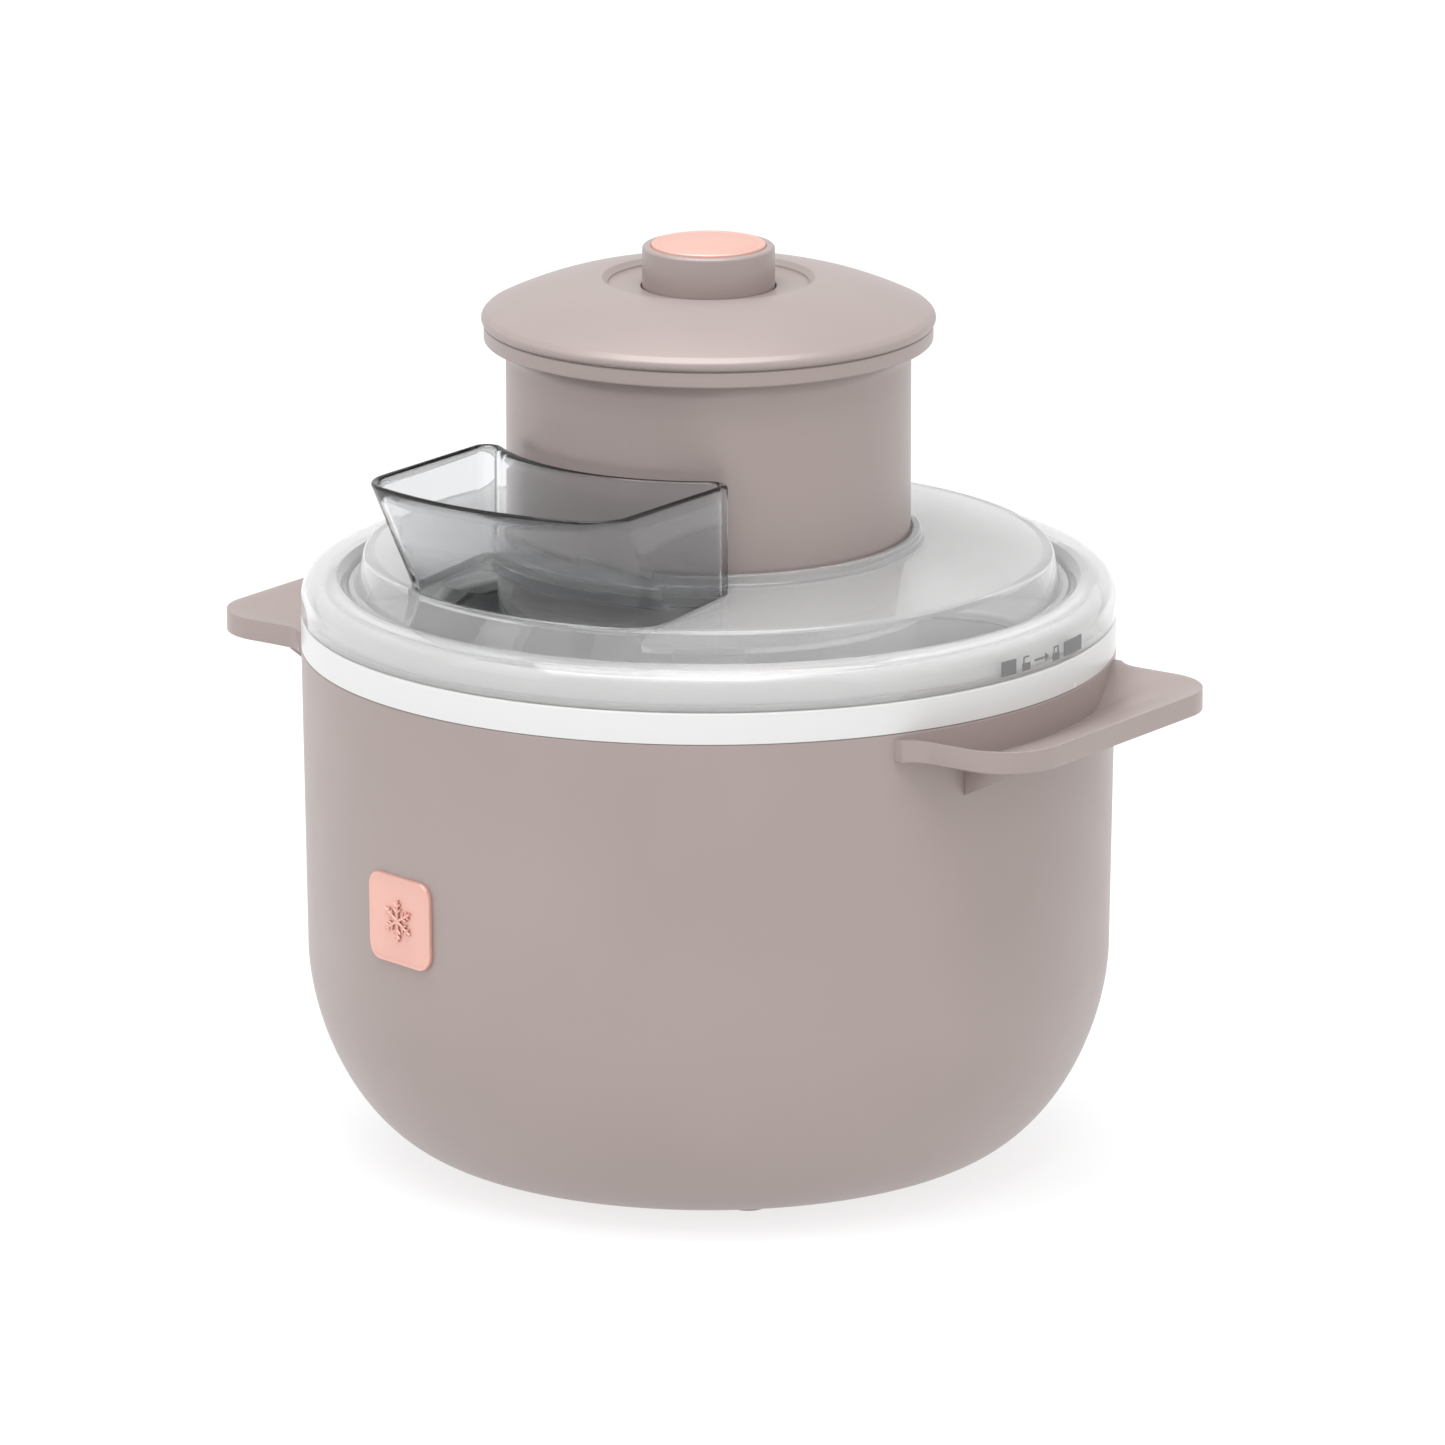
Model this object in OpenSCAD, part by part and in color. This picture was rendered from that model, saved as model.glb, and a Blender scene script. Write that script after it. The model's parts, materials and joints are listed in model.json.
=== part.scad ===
/* [Housing] */
// Outside radius of the housing at its rim
body_r = 100; // [90:1:115]
// Height of the housing rim above the surface it stands on
rim_z = 127.5; // [115:0.5:140]
// Radius of the flat underside
base_r = 66; // [50:1:70]
// Height of the feet
foot_h = 2; // [1:0.5:4]
// Wall thickness of the housing
body_wall = 2.5; // [2:0.1:3]
// Distance from the axis to the outer edge of each wing handle
handle_r = 123; // [115:1:130]
// Thickness of the wing handles
handle_t = 5.3; // [4:0.1:7]

/* [Freezer bowl] */
// Height of the white rim band
band_h = 7.7; // [6:0.1:10]
// Inside radius of the aluminium liner at its mouth
liner_r = 77; // [74:0.5:80]
// Height of the liner floor
liner_floor_z = 24; // [20:1:40]
// Thickness of the aluminium liner
liner_t = 1.2; // [1:0.1:1.5]

/* [Lid] */
// Thickness of the clear plastic
lid_t = 2; // [1.6:0.1:2.4]
// Half width of the filling chute
chute_w = 37.5; // [30:0.5:39]
// Height of the chute mouth above the housing rim
chute_top = 53.2; // [45:0.1:60]
// How far the lid turns to lock, in degrees
lock_turn = 12; // [8:1:15]

/* [Motor unit] */
// Outside radius of the motor unit
motor_r = 49.5; // [45:0.5:52]
// Height of the motor unit's underside above the housing rim
motor_z = 11.8; // [10:0.1:14]
// Outside radius of the cap's brim
cap_r = 55.5; // [54:0.5:58]
// Radius of the power button
button_r = 16.2; // [12:0.1:17]
// How far the power button goes down
button_travel = 3; // [1:0.5:4]
// Diameter of the bore for the mains cord
cord_bore = 6.6; // [5:0.1:8]

/* [Gear train] */
// Module of all the gears
gear_m = 0.8; // [0.7:0.05:0.85]
// Teeth of the output gear
teeth_out = 40; // [36:1:42]
// Teeth of both pinions
teeth_pinion = 12; // [11:1:13]
// Teeth of the large intermediate wheel
teeth_mid = 36; // [30:1:38]

/* [Hidden] */
$fn = 128;

// Small lap that keeps cutting faces apart
eps = 0.01;
// Radial clearance of the running fits
run_fit = 0.05;

// Where the straight wall bends into the rounded bottom
bend_z = 52;
bend_r = body_r - 1.1;
// Exponent of the rounded bottom, a little flatter than an ellipse
bend_p = 1.78;

land_z = rim_z + band_h;
lid_z = land_z + 0.3;
floor_top = rim_z + motor_z;
roll_r = 6;
crest_z = rim_z + 18.2;
shoulder_z = rim_z + 24;
collar_z = rim_z + 29.3;
collar_r = motor_r + 2.5;
well_r = motor_r + 0.5;
hub_r = 8.95;

flare_z = rim_z + 71.5;
part_z = rim_z + 80.2;
dish_r = 26;
dish_edge_z = rim_z + 91.5;
dish_z = dish_edge_z - 2;
button_top = rim_z + 99.4;
tube_r = motor_r - 2.2;

taupe = [0.68, 0.62, 0.60];
white = [0.95, 0.95, 0.94];
clear = [0.86, 0.90, 0.90, 0.35];
rose_gold = [0.90, 0.68, 0.62];
steel = [0.72, 0.73, 0.75];
black = [0.15, 0.15, 0.16];

// Points along an arc about (x, y)
function arc(x, y, r, a0, a1, n = 8) =
    [for (i = [0 : n]) let (a = a0 + (a1 - a0) * i / n) [x + r * cos(a), y + r * sin(a)]];

function flip(list) = [for (i = [len(list) - 1 : -1 : 0]) list[i]];

// Outside radius of the straight part of the housing wall at height z
function wall_r(z) = bend_r + (body_r - bend_r) * (z - bend_z) / (rim_z - bend_z);

// The housing's section from its axis to its rim, moved inwards by d
function pot_outline(d, n = 18) = concat(
    [[0, foot_h + d]],
    [for (i = [0 : n]) let (a = 90 * i / n) [
        base_r - d + (bend_r - base_r) * pow(sin(a), 2 / bend_p),
        bend_z - (bend_z - foot_h - d) * pow(cos(a), 2 / bend_p)
    ]],
    [[body_r - d, rim_z]]
);

// ---------- housing ----------

handle_top_z = rim_z - 1.5;
handle_dip = 7.7;
handle_w = 44.2;

// Height of a handle's dished top at radius r
function dish_line(r) =
    handle_top_z - handle_dip * (handle_r - 0.3 - r) / (handle_r - 0.3 - body_r);

// Outline of a handle seen from above, along +X
function handle_plan(corner = 15) = concat(
    [[80, handle_w]],
    arc(handle_r - corner, handle_w - corner, corner, 90, 0, 8),
    arc(handle_r - corner, corner - handle_w, corner, 0, -90, 8),
    [[80, -handle_w]]
);

// The space over a handle's dished top, lowered by d and wider by t at each side
module handle_dish(d, t) {
    top = handle_top_z - d;
    half = handle_w - 2 + t;
    intersection() {
        rotate_extrude()
            polygon([
                [90, dish_line(90) - d], [handle_r + 10, dish_line(handle_r + 10) - d],
                [handle_r + 10, rim_z + 12], [90, rim_z + 12]
            ]);
        translate([80, 0, 0])
            rotate([90, 0, 90])
                linear_extrude(60)
                    polygon([
                        [6 - half, top - handle_dip], [half - 6, top - handle_dip],
                        [half, top], [half, rim_z + 10], [-half, rim_z + 10], [-half, top]
                    ]);
    }
}

module wing_handle() {
    difference() {
        intersection() {
            translate([0, 0, handle_top_z - handle_dip - handle_t])
                linear_extrude(handle_dip + handle_t)
                    polygon(handle_plan());
            union() {
                handle_dish(handle_t, 2);
                translate([80, -50, handle_top_z - handle_t])
                    cube([60, 100, handle_t + 5]);
            }
        }
        handle_dish(0, 0);
        translate([0, 0, rim_z - 40])
            cylinder(r = body_r - 1.6, h = 60);
    }
    root = handle_top_z - handle_dip - handle_t;
    for (y = [-27.5, 27.5])
        translate([0, y, 0])
            rotate([90, 0, 0])
                linear_extrude(2.2, center = true)
                    polygon([
                        [95.2, root - 3.8], [95.2, root + 3],
                        [115, root + 7.4], [115, root + 6.4]
                    ]);
}

foot_r = 58;
foot_angles = [45, 135, 225, 315];

module outer_housing() {
    color(taupe)
        difference() {
            union() {
                rotate_extrude()
                    polygon(concat(pot_outline(0), flip(pot_outline(body_wall))));
                wing_handle();
                rotate(180)
                    wing_handle();
            }
            for (a = foot_angles)
                rotate(a)
                    translate([foot_r, 0, foot_h - 1])
                        cylinder(r = 2.5, h = body_wall + 2);
        }
}

module base_feet() {
    color(taupe)
        for (a = foot_angles)
            rotate(a)
                translate([foot_r, 0, 0]) {
                    cylinder(r1 = 4.8, r2 = 6, h = foot_h * 0.6);
                    translate([0, 0, foot_h * 0.6])
                        cylinder(r = 6, h = foot_h * 0.4);
                    cylinder(r = 2.45, h = foot_h + body_wall + 1);
                    translate([0, 0, foot_h + body_wall])
                        cylinder(r = 3.4, h = 1);
                }
}

badge_angle = -103;
badge_z = rim_z - 53;
badge_w = 22.4;
badge_h = 22;

// A ring that lies on the housing wall, from depth d0 to depth d1 outside it
module wall_ring(d0, d1) {
    lo = badge_z - badge_h;
    hi = badge_z + badge_h;
    rotate_extrude()
        polygon([
            [wall_r(lo) + d0, lo], [wall_r(lo) + d1, lo],
            [wall_r(hi) + d1, hi], [wall_r(hi) + d0, hi]
        ]);
}

module badge_plaque() {
    corner = 4;
    color(rose_gold)
        rotate(badge_angle) {
            intersection() {
                wall_ring(0, 1.2);
                translate([80, 0, badge_z])
                    rotate([0, 90, 0])
                        linear_extrude(30)
                            polygon(concat(
                                arc(badge_h / 2 - corner, badge_w / 2 - corner, corner, 0, 90),
                                arc(corner - badge_h / 2, badge_w / 2 - corner, corner, 90, 180),
                                arc(corner - badge_h / 2, corner - badge_w / 2, corner, 180, 270),
                                arc(badge_h / 2 - corner, corner - badge_w / 2, corner, 270, 360)
                            ));
            }
            intersection() {
                wall_ring(1, 1.6);
                translate([80, 0, badge_z])
                    rotate([0, 90, 0])
                        for (a = [0 : 60 : 300])
                            rotate(a)
                                snowflake_arm();
            }
        }
}

module snowflake_arm() {
    translate([0, -0.35, 0])
        cube([5.4, 0.7, 30]);
    for (s = [-1, 1])
        translate([3, 0, 0])
            rotate(s * 50)
                translate([0, -0.3, 0])
                    cube([2, 0.6, 30]);
}

// ---------- freezer bowl ----------

land_r = body_r - 6.8;
lip_z = rim_z + 1.4;
seat_z = rim_z - 0.8;
pocket_z = land_z - 4.5;
lug_span = 12;
// Round-topped bead that stands up inside the lid's rolled edge
bead_r = 1.55;
bead_z = land_z + 5.85;

module bowl_rim() {
    color(white)
        difference() {
            rotate_extrude()
                polygon(concat(
                    [[body_r, rim_z], [body_r, land_z - 0.6], [body_r - 0.6, land_z]],
                    [[land_r + 2 * bead_r, land_z]],
                    arc(land_r + bead_r, bead_z, bead_r, 0, 180, 6),
                    [[land_r, rim_z + 3], [liner_r + 2, lip_z + 0.8]],
                    arc(liner_r + 1.2, lip_z - 0.4, 1.4, 80, 200, 6),
                    [[liner_r - 0.2, seat_z], [body_r - 5.6, seat_z]],
                    [[body_r - 5.6, rim_z - 6], [body_r - 3.1, rim_z - 6], [body_r - 3.1, rim_z]]
                ));
            for (a = [30, 150, 270])
                rotate(a)
                    translate([0, 0, pocket_z])
                        rotate_extrude(angle = lug_span + lock_turn + 4)
                            translate([land_r - 1, 0])
                                square([3.2, 14]);
        }
}

jacket_top_r = body_r - 9;
jacket_low_r = body_r - 17;
jacket_t = 2.2;
jacket_z = 14;

// Half section of a round tub, straight wall with a rounded corner, from its axis outwards
function tub(r_low, r_top, z_low, z_top, corner) = concat(
    [[0, z_low]],
    arc(r_low - corner, z_low + corner, corner, -90, 0, 8),
    [[r_top, z_top]]
);

module bowl_jacket() {
    color(white)
        difference() {
            rotate_extrude()
                polygon(concat(
                    tub(jacket_low_r, jacket_top_r, jacket_z, seat_z, 12),
                    flip(tub(jacket_low_r - jacket_t, jacket_top_r - jacket_t,
                        jacket_z + jacket_t, seat_z, 10))
                ));
            translate([0, 0, jacket_z - 1])
                cylinder(r = 8, h = jacket_t + 2);
        }
}

liner_low_r = 71;
flange_z = seat_z - 2.4;
flange_r = liner_r + 9;

module bowl_liner() {
    color([0.78, 0.79, 0.80])
        rotate_extrude()
            polygon(concat(
                tub(liner_low_r + liner_t, liner_r + liner_t, liner_floor_z - liner_t, flange_z, 13),
                [[flange_r, flange_z], [flange_r, flange_z + liner_t]],
                flip(tub(liner_low_r, liner_r, liner_floor_z, flange_z + liner_t, 12))
            ));
}

module liner_seal() {
    color([0.35, 0.35, 0.36])
        translate([0, 0, flange_z + liner_t])
            difference() {
                cylinder(r = flange_r, h = seat_z - flange_z - liner_t);
                translate([0, 0, -1])
                    cylinder(r = liner_r + 0.8, h = 5);
            }
}

module coolant_gel() {
    gap = 0.2;
    top = rim_z - 16;
    wall_out = jacket_t + gap;
    wall_in = liner_t + gap;
    rise = (top - liner_floor_z) / (flange_z - liner_floor_z);
    climb = (top - jacket_z) / (seat_z - jacket_z);
    color([0.55, 0.75, 0.90])
        rotate_extrude()
            polygon(concat(
                tub(jacket_low_r - wall_out,
                    jacket_low_r + (jacket_top_r - jacket_low_r) * climb - wall_out - 0.3,
                    jacket_z + wall_out, top, 10),
                flip(tub(liner_low_r + wall_in,
                    liner_low_r + (liner_r - liner_low_r) * rise + wall_in + 0.6,
                    liner_floor_z - wall_in, top, 13))
            ));
}

module filler_plug() {
    color(white)
        translate([0, 0, jacket_z - 1.8]) {
            cylinder(r = 10.5, h = 1.8);
            cylinder(r = 7.95, h = jacket_t + 1.7);
        }
}

// ---------- lid ----------

gasket_h = 1.5;
gasket_in = land_r + 3.4;

module lid_gasket() {
    color([0.93, 0.93, 0.92])
        rotate_extrude()
            polygon([
                [gasket_in, land_z], [body_r - 0.5, land_z], [body_r - 0.5, lid_z],
                [body_r - 2.5, lid_z], [body_r - 2.5, land_z + gasket_h],
                [gasket_in, land_z + gasket_h]
            ]);
}

roll_c = body_r - roll_r;
roll_z = crest_z - roll_r;
valley_z = rim_z + 14.5;
ring_out = land_r - 0.8;
ring_in = ring_out - 2;
ring_z = rim_z + 3.9;
plateau_rise = 2.6;

// Section of the clear lid, round its whole shell
function lid_outline() = concat(
    [[body_r, lid_z]],
    arc(roll_c, roll_z, roll_r, 0, 158, 14),
    arc(87.4, valley_z + 1.1, 1.1, -40, -160, 4),
    arc(82.6, shoulder_z - 2.2, 2.2, 18, 85, 5),
    [[collar_r + 1.5, shoulder_z + plateau_rise]],
    arc(collar_r + 1.5, shoulder_z + plateau_rise + 1.5, 1.5, -90, -180, 3),
    [[collar_r, collar_z - 0.5], [collar_r - 0.5, collar_z]],
    [[well_r, collar_z], [well_r, floor_top]],
    [[hub_r + run_fit, floor_top], [hub_r + run_fit, floor_top - lid_t]],
    [[well_r + 1.8, floor_top - lid_t], [well_r + 1.8, shoulder_z + plateau_rise - lid_t]],
    [[81.6, shoulder_z - lid_t - 0.2], [85.4, valley_z - lid_t + 0.3]],
    [[ring_in, valley_z - lid_t + 0.3], [ring_in, ring_z], [ring_out, ring_z]],
    [[ring_out, roll_z + 1]],
    arc(roll_c, roll_z, roll_r - lid_t, 120, 0, 8),
    [[body_r - lid_t, lid_z]]
);

chute_in_r = collar_r + 0.7;
chute_low_r = 84;
chute_high_r = body_r - 0.5;

// Outline of the chute along +X, for outer radius ro and inwards offset d
function chute_outline(ro, d) = let (
    r_o = 12 - d,
    r_i = 4 - d * 0.7,
    w = chute_w - d,
    ri = chute_in_r + d,
    b_o = asin((w - r_o) / (ro - d - r_o)),
    x_o = (ro - d - r_o) * cos(b_o),
    b_i = asin((w - r_i) / (ri + r_i)),
    x_i = (ri + r_i) * cos(b_i)
) concat(
    arc(0, 0, ro - d, -b_o, b_o, 14),
    arc(x_o, w - r_o, r_o, b_o + 8, 90, 7),
    arc(x_i, w - r_i, r_i, 90, 180 + b_i, 8),
    arc(0, 0, ri, b_i - 4, 4 - b_i, 14),
    arc(x_i, r_i - w, r_i, 180 - b_i, 270, 8),
    arc(x_o, r_o - w, r_o, -90, -b_o - 8, 7)
);

module lid_dome() {
    color(clear) {
        difference() {
            rotate_extrude()
                polygon(lid_outline());
            rotate(-90)
                translate([0, 0, valley_z + 2])
                    linear_extrude(20)
                        polygon(chute_outline(chute_low_r + 0.1, -0.1));
        }
        for (a = [32, 152, 272])
            rotate(a)
                translate([0, 0, ring_z])
                    rotate_extrude(angle = lug_span)
                        translate([ring_out - 0.5, 0])
                            square([2.1, 2.4]);
    }
}

function ring_at(ro, d, z) = [for (p = chute_outline(ro, d)) [p[0], p[1], z]];

module filling_chute() {
    foot_z = shoulder_z - lid_t;
    bend = shoulder_z + 1;
    top = rim_z + chute_top;
    rings = [
        ring_at(chute_low_r, 0, foot_z),
        ring_at(chute_low_r, 0, bend),
        ring_at(chute_high_r, 0, top),
        ring_at(chute_high_r, lid_t, top),
        ring_at(chute_low_r, lid_t, bend),
        ring_at(chute_low_r, lid_t, foot_z)
    ];
    n = len(rings[0]);
    k = len(rings);
    color(clear)
        rotate(-90)
            polyhedron(
                points = [for (r = rings) for (p = r) p],
                faces = [for (j = [0 : k - 1]) for (i = [0 : n - 1]) for (t = [0, 1])
                    let (
                        a = j * n + i,
                        b = j * n + (i + 1) % n,
                        c = ((j + 1) % k) * n + (i + 1) % n,
                        d = ((j + 1) % k) * n + i
                    ) t == 0 ? [a, c, b] : [a, d, c]]
            );
}

// ---------- paddle ----------

socket_flats = 8.4;
shaft_flats = 8;
socket_z = floor_top - 15;

// Half outline of the paddle's scraper, following the liner wall with 2 mm to spare
function scraper_outline() = [
    [57, liner_floor_z + 0.8], [63, liner_floor_z + 4], [67.5, liner_floor_z + 12],
    [liner_r - 3.4, rim_z - 8], [liner_r - 13, rim_z - 4], [liner_r - 16, rim_z - 8],
    [54, liner_floor_z + 16], [50, liner_floor_z + 10], [50, liner_floor_z + 0.8]
];

module mixing_paddle() {
    bar_t = 4;
    color(white)
        difference() {
            union() {
                translate([0, 0, rim_z - 26])
                    cylinder(r = hub_r, h = floor_top - rim_z + 26 - 0.3);
                translate([0, 0, floor_top - lid_t - 4.4])
                    cylinder(r = 13, h = 4);
                translate([0, 0, rim_z - 38])
                    cylinder(r1 = 4, r2 = hub_r, h = 12 + eps);
                for (s = [0, 180])
                    rotate(s) {
                        rotate([90, 0, 0])
                            linear_extrude(bar_t, center = true)
                                polygon(scraper_outline());
                        translate([0, -bar_t / 2, rim_z - 14])
                            cube([liner_r - 14, bar_t, 8]);
                        translate([0, -bar_t / 2, liner_floor_z + 0.8])
                            cube([52, bar_t, 9]);
                        translate([29, 0, liner_floor_z + 4])
                            rotate(35)
                                translate([-6, -1.5, 0])
                                    cube([12, 3, rim_z - 14 - liner_floor_z]);
                    }
            }
            translate([0, 0, socket_z])
                cylinder(r = socket_flats / 2 / cos(30), h = 40, $fn = 6);
        }
}

// ---------- motor unit ----------

base_top = floor_top + 4.2;
boss_angles = [60, 180, 300];
boss_at = 42.5;
post_angles = [130, 220, 325];
post_at = 38;
plate_z = floor_top + 20.2;
plate_t = 2;
can_z = plate_z + plate_t;
can_h = 21;
can_r = 25;

mid_x = gear_m * (teeth_out + teeth_pinion) / 2;
rotor_step = gear_m * (teeth_mid + teeth_pinion) / 2;
rotor_at = [mid_x + rotor_step * cos(120), rotor_step * sin(120)];

cord_z = rim_z + 62;
bracket_z = rim_z + 68;

// Section of the motor unit's tube, flaring out to meet the cap
function tube_outline() = concat(
    [[tube_r, base_top]],
    [[motor_r, base_top], [motor_r, flare_z]],
    arc(motor_r + 4.5, flare_z, 4.5, 180, 95, 6),
    [[cap_r - 0.6, flare_z + 5.6], [cap_r - 0.6, part_z]],
    [[cap_r - 4.2, part_z], [cap_r - 4.2, flare_z + 6.6]],
    [[tube_r + 0.5, flare_z + 2], [tube_r, flare_z + 0.5]]
);

module motor_housing() {
    color(taupe)
        difference() {
            union() {
                rotate_extrude()
                    polygon(tube_outline());
                for (a = boss_angles)
                    rotate(a)
                        translate([boss_at, 0, base_top])
                            boss(4.2, 14);
                for (s = [0, 180])
                    rotate(s)
                        intersection() {
                            translate([40, -7, bracket_z - 8])
                                cube([12, 14, 8]);
                            cylinder(r = motor_r - 1, h = 300);
                        }
            }
            for (a = boss_angles)
                rotate(a)
                    translate([boss_at, 0, base_top - 1])
                        cylinder(r = 1.3, h = 13);
            for (s = [0, 180])
                rotate(s)
                    translate([43, 0, bracket_z - 7])
                        cylinder(r = 1.1, h = 8);
            translate([0, tube_r - 5, cord_z])
                rotate([-90, 0, 0])
                    cylinder(r = 4.6, h = 12);
        }
}

// A screw boss whose far side runs into the tube wall
module boss(r, h) {
    cylinder(r = r, h = h);
    translate([0, -r, 0])
        cube([tube_r - boss_at + 1, 2 * r, h]);
}

// Section of the motor unit's base, a shallow cup with a spigot inside the tube
function base_outline(corner = 3.4) = concat(
    [[7.5, floor_top]],
    arc(motor_r - corner, floor_top + corner, corner, -90, 0, 6),
    [[motor_r, base_top], [tube_r - 0.1, base_top], [tube_r - 0.1, base_top + 3]],
    [[tube_r - 2, base_top + 3], [tube_r - 2, floor_top + 2.6], [7.5, floor_top + 2.6]]
);

module motor_base() {
    color(taupe)
        difference() {
            union() {
                rotate_extrude()
                    polygon(base_outline());
                for (a = boss_angles)
                    rotate(a)
                        translate([boss_at, 0, floor_top + 1])
                            cylinder(r = 4.2, h = base_top - floor_top - 1);
                for (a = post_angles)
                    rotate(a)
                        translate([post_at, 0, floor_top + 1])
                            cylinder(r = 4, h = plate_z - floor_top - 1);
                translate([mid_x, 0, floor_top + 1])
                    cylinder(r = 3.6, h = 5.8);
            }
            for (a = boss_angles)
                rotate(a)
                    translate([boss_at, 0, floor_top - 1]) {
                        cylinder(r = 1.7, h = 60);
                        cylinder(r = 3.3, h = 3);
                        translate([0, 0, base_top - floor_top + 1])
                            cylinder(r = 5.2, h = 4);
                    }
            for (a = boss_angles)
                rotate(a)
                    translate([boss_at, -4.4, base_top])
                        cube([10, 8.8, 4]);
            for (a = post_angles)
                rotate(a)
                    translate([post_at, 0, plate_z - 10])
                        cylinder(r = 1.2, h = 12);
            translate([mid_x, 0, floor_top + 1.4])
                cylinder(r = 1.5, h = 10);
        }
}

// A cross-head screw along +Z, its head's underside at the origin and its shank below it
module screw(shank_r, length, head_r, head_h) {
    translate([0, 0, -length])
        cylinder(r = shank_r, h = length + eps);
    difference() {
        cylinder(r = head_r, h = head_h);
        for (a = [0, 90])
            rotate(a)
                translate([-head_r * 0.6, -0.35, head_h / 2])
                    cube([head_r * 1.2, 0.7, head_h]);
    }
}

module base_screws() {
    color(steel)
        for (a = boss_angles)
            rotate(a)
                translate([boss_at, 0, floor_top + 2])
                    mirror([0, 0, 1])
                        screw(1.28, 11, 3, 1.7);
}

module shaft_bush() {
    color([0.72, 0.60, 0.35])
        translate([0, 0, floor_top + 0.2])
            difference() {
                union() {
                    cylinder(r = 7.5, h = 6);
                    translate([0, 0, 2.4])
                        cylinder(r = 9.5, h = 1.6);
                }
                translate([0, 0, -1])
                    cylinder(r = 5 + run_fit, h = 9);
            }
}

module gear_plate() {
    color(steel)
        translate([0, 0, plate_z])
            difference() {
                cylinder(r = 45.5, h = plate_t);
                translate([0, 0, -1]) {
                    cylinder(r = 3 + run_fit, h = 5);
                    translate([mid_x, 0, 0])
                        cylinder(r = 1.5, h = 5);
                    translate(rotor_at)
                        cylinder(r = 3.2, h = 5);
                    for (a = post_angles)
                        rotate(a)
                            translate([post_at, 0, 0])
                                cylinder(r = 1.7, h = 5);
                    for (s = [-1, 1])
                        translate(rotor_at)
                            rotate(146)
                                translate([s * 29.5, 0, 0])
                                    cylinder(r = 1.5, h = 5);
                    rotate(250)
                        translate([28, -12, 0])
                            cube([9, 24, 5]);
                }
            }
}

module plate_screws() {
    color(steel)
        for (a = post_angles)
            rotate(a)
                translate([post_at, 0, plate_z + plate_t])
                    screw(1.18, 10, 3, 1.8);
}

module gear_axle() {
    color(steel)
        translate([mid_x, 0, floor_top + 1.6])
            cylinder(r = 1.48, h = plate_z + plate_t - floor_top - 1.6);
}

module motor_can() {
    color(steel)
        translate([rotor_at[0], rotor_at[1], can_z]) {
            difference() {
                cylinder(r = can_r, h = can_h);
                translate([0, 0, 1.2])
                    cylinder(r = can_r - 1, h = can_h - 2.4);
                translate([0, 0, -1])
                    cylinder(r = 2 + run_fit, h = can_h + 2);
            }
            for (s = [0, 180])
                rotate(146 + s)
                    difference() {
                        union() {
                            translate([can_r - 1.5, -4, 0])
                                cube([6, 8, 1.2]);
                            translate([29.5, 0, 0])
                                cylinder(r = 4, h = 1.2);
                        }
                        translate([29.5, 0, -1])
                            cylinder(r = 1.6, h = 4);
                        translate([0, 0, -1])
                            cylinder(r = can_r - 0.5, h = 4);
                    }
        }
}

module stator_coil() {
    color([0.72, 0.42, 0.25])
        translate([rotor_at[0], rotor_at[1], can_z + 1.6])
            difference() {
                cylinder(r = can_r - 1.4, h = can_h - 3.2);
                translate([0, 0, -1])
                    cylinder(r = 14, h = can_h);
            }
}

module motor_screws() {
    color(steel)
        for (s = [-1, 1])
            translate([rotor_at[0], rotor_at[1], can_z + 1.2])
                rotate(146)
                    translate([s * 29.5, 0, 0])
                        screw(1.45, 4.4, 2.8, 1.6);
}

module motor_rotor() {
    color([0.30, 0.30, 0.32])
        translate([rotor_at[0], rotor_at[1], 0]) {
            translate([0, 0, plate_z - 7.2])
                cylinder(r = 2, h = can_h + plate_t + 6.8);
            translate([0, 0, can_z + 3])
                cylinder(r = 13.2, h = can_h - 6);
        }
}

// ---------- gears ----------

base_pressure = 20;
backlash = 0.22;

function inv_angle(a) = tan(a) * 180 / PI - a;

// Half the angle that a tooth spans at radius r
function tooth_half(n, r) = let (
    rp = gear_m * n / 2,
    rb = rp * cos(base_pressure),
    here = r <= rb ? 0 : acos(rb / r)
) 90 / n - backlash / 2 / rp * 180 / PI + inv_angle(base_pressure) - inv_angle(here);

function tooth(n, i) = let (
    rp = gear_m * n / 2,
    root = rp - 1.25 * gear_m,
    low = max(root, rp * cos(base_pressure)),
    tip = rp + gear_m * 0.95,
    radii = [for (k = [0 : 4]) low + (tip - low) * k / 4],
    at = 360 * i / n
) concat(
    [root * [cos(at - tooth_half(n, low)), sin(at - tooth_half(n, low))]],
    [for (r = radii) r * [cos(at - tooth_half(n, r)), sin(at - tooth_half(n, r))]],
    [for (r = flip(radii)) r * [cos(at + tooth_half(n, r)), sin(at + tooth_half(n, r))]],
    [root * [cos(at + tooth_half(n, low)), sin(at + tooth_half(n, low))]]
);

module gear(n, h) {
    linear_extrude(h)
        polygon([for (i = [0 : n - 1]) for (p = tooth(n, i)) p]);
}

gear_z = floor_top + 7.2;

module output_gear() {
    color(white)
        translate([0, 0, gear_z])
            difference() {
                gear(teeth_out, 5);
                translate([0, 0, -1])
                    cylinder(r = 5.02, h = 8);
            }
}

module output_shaft() {
    color(steel) {
        translate([0, 0, floor_top - 13.5])
            cylinder(r = shaft_flats / 2 / cos(30), h = 13.5 + eps, $fn = 6);
        translate([0, 0, floor_top])
            cylinder(r = 5, h = 12.8);
        translate([0, 0, floor_top + 12.8 - eps])
            cylinder(r = 3, h = plate_z + plate_t - floor_top - 13);
    }
}

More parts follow.
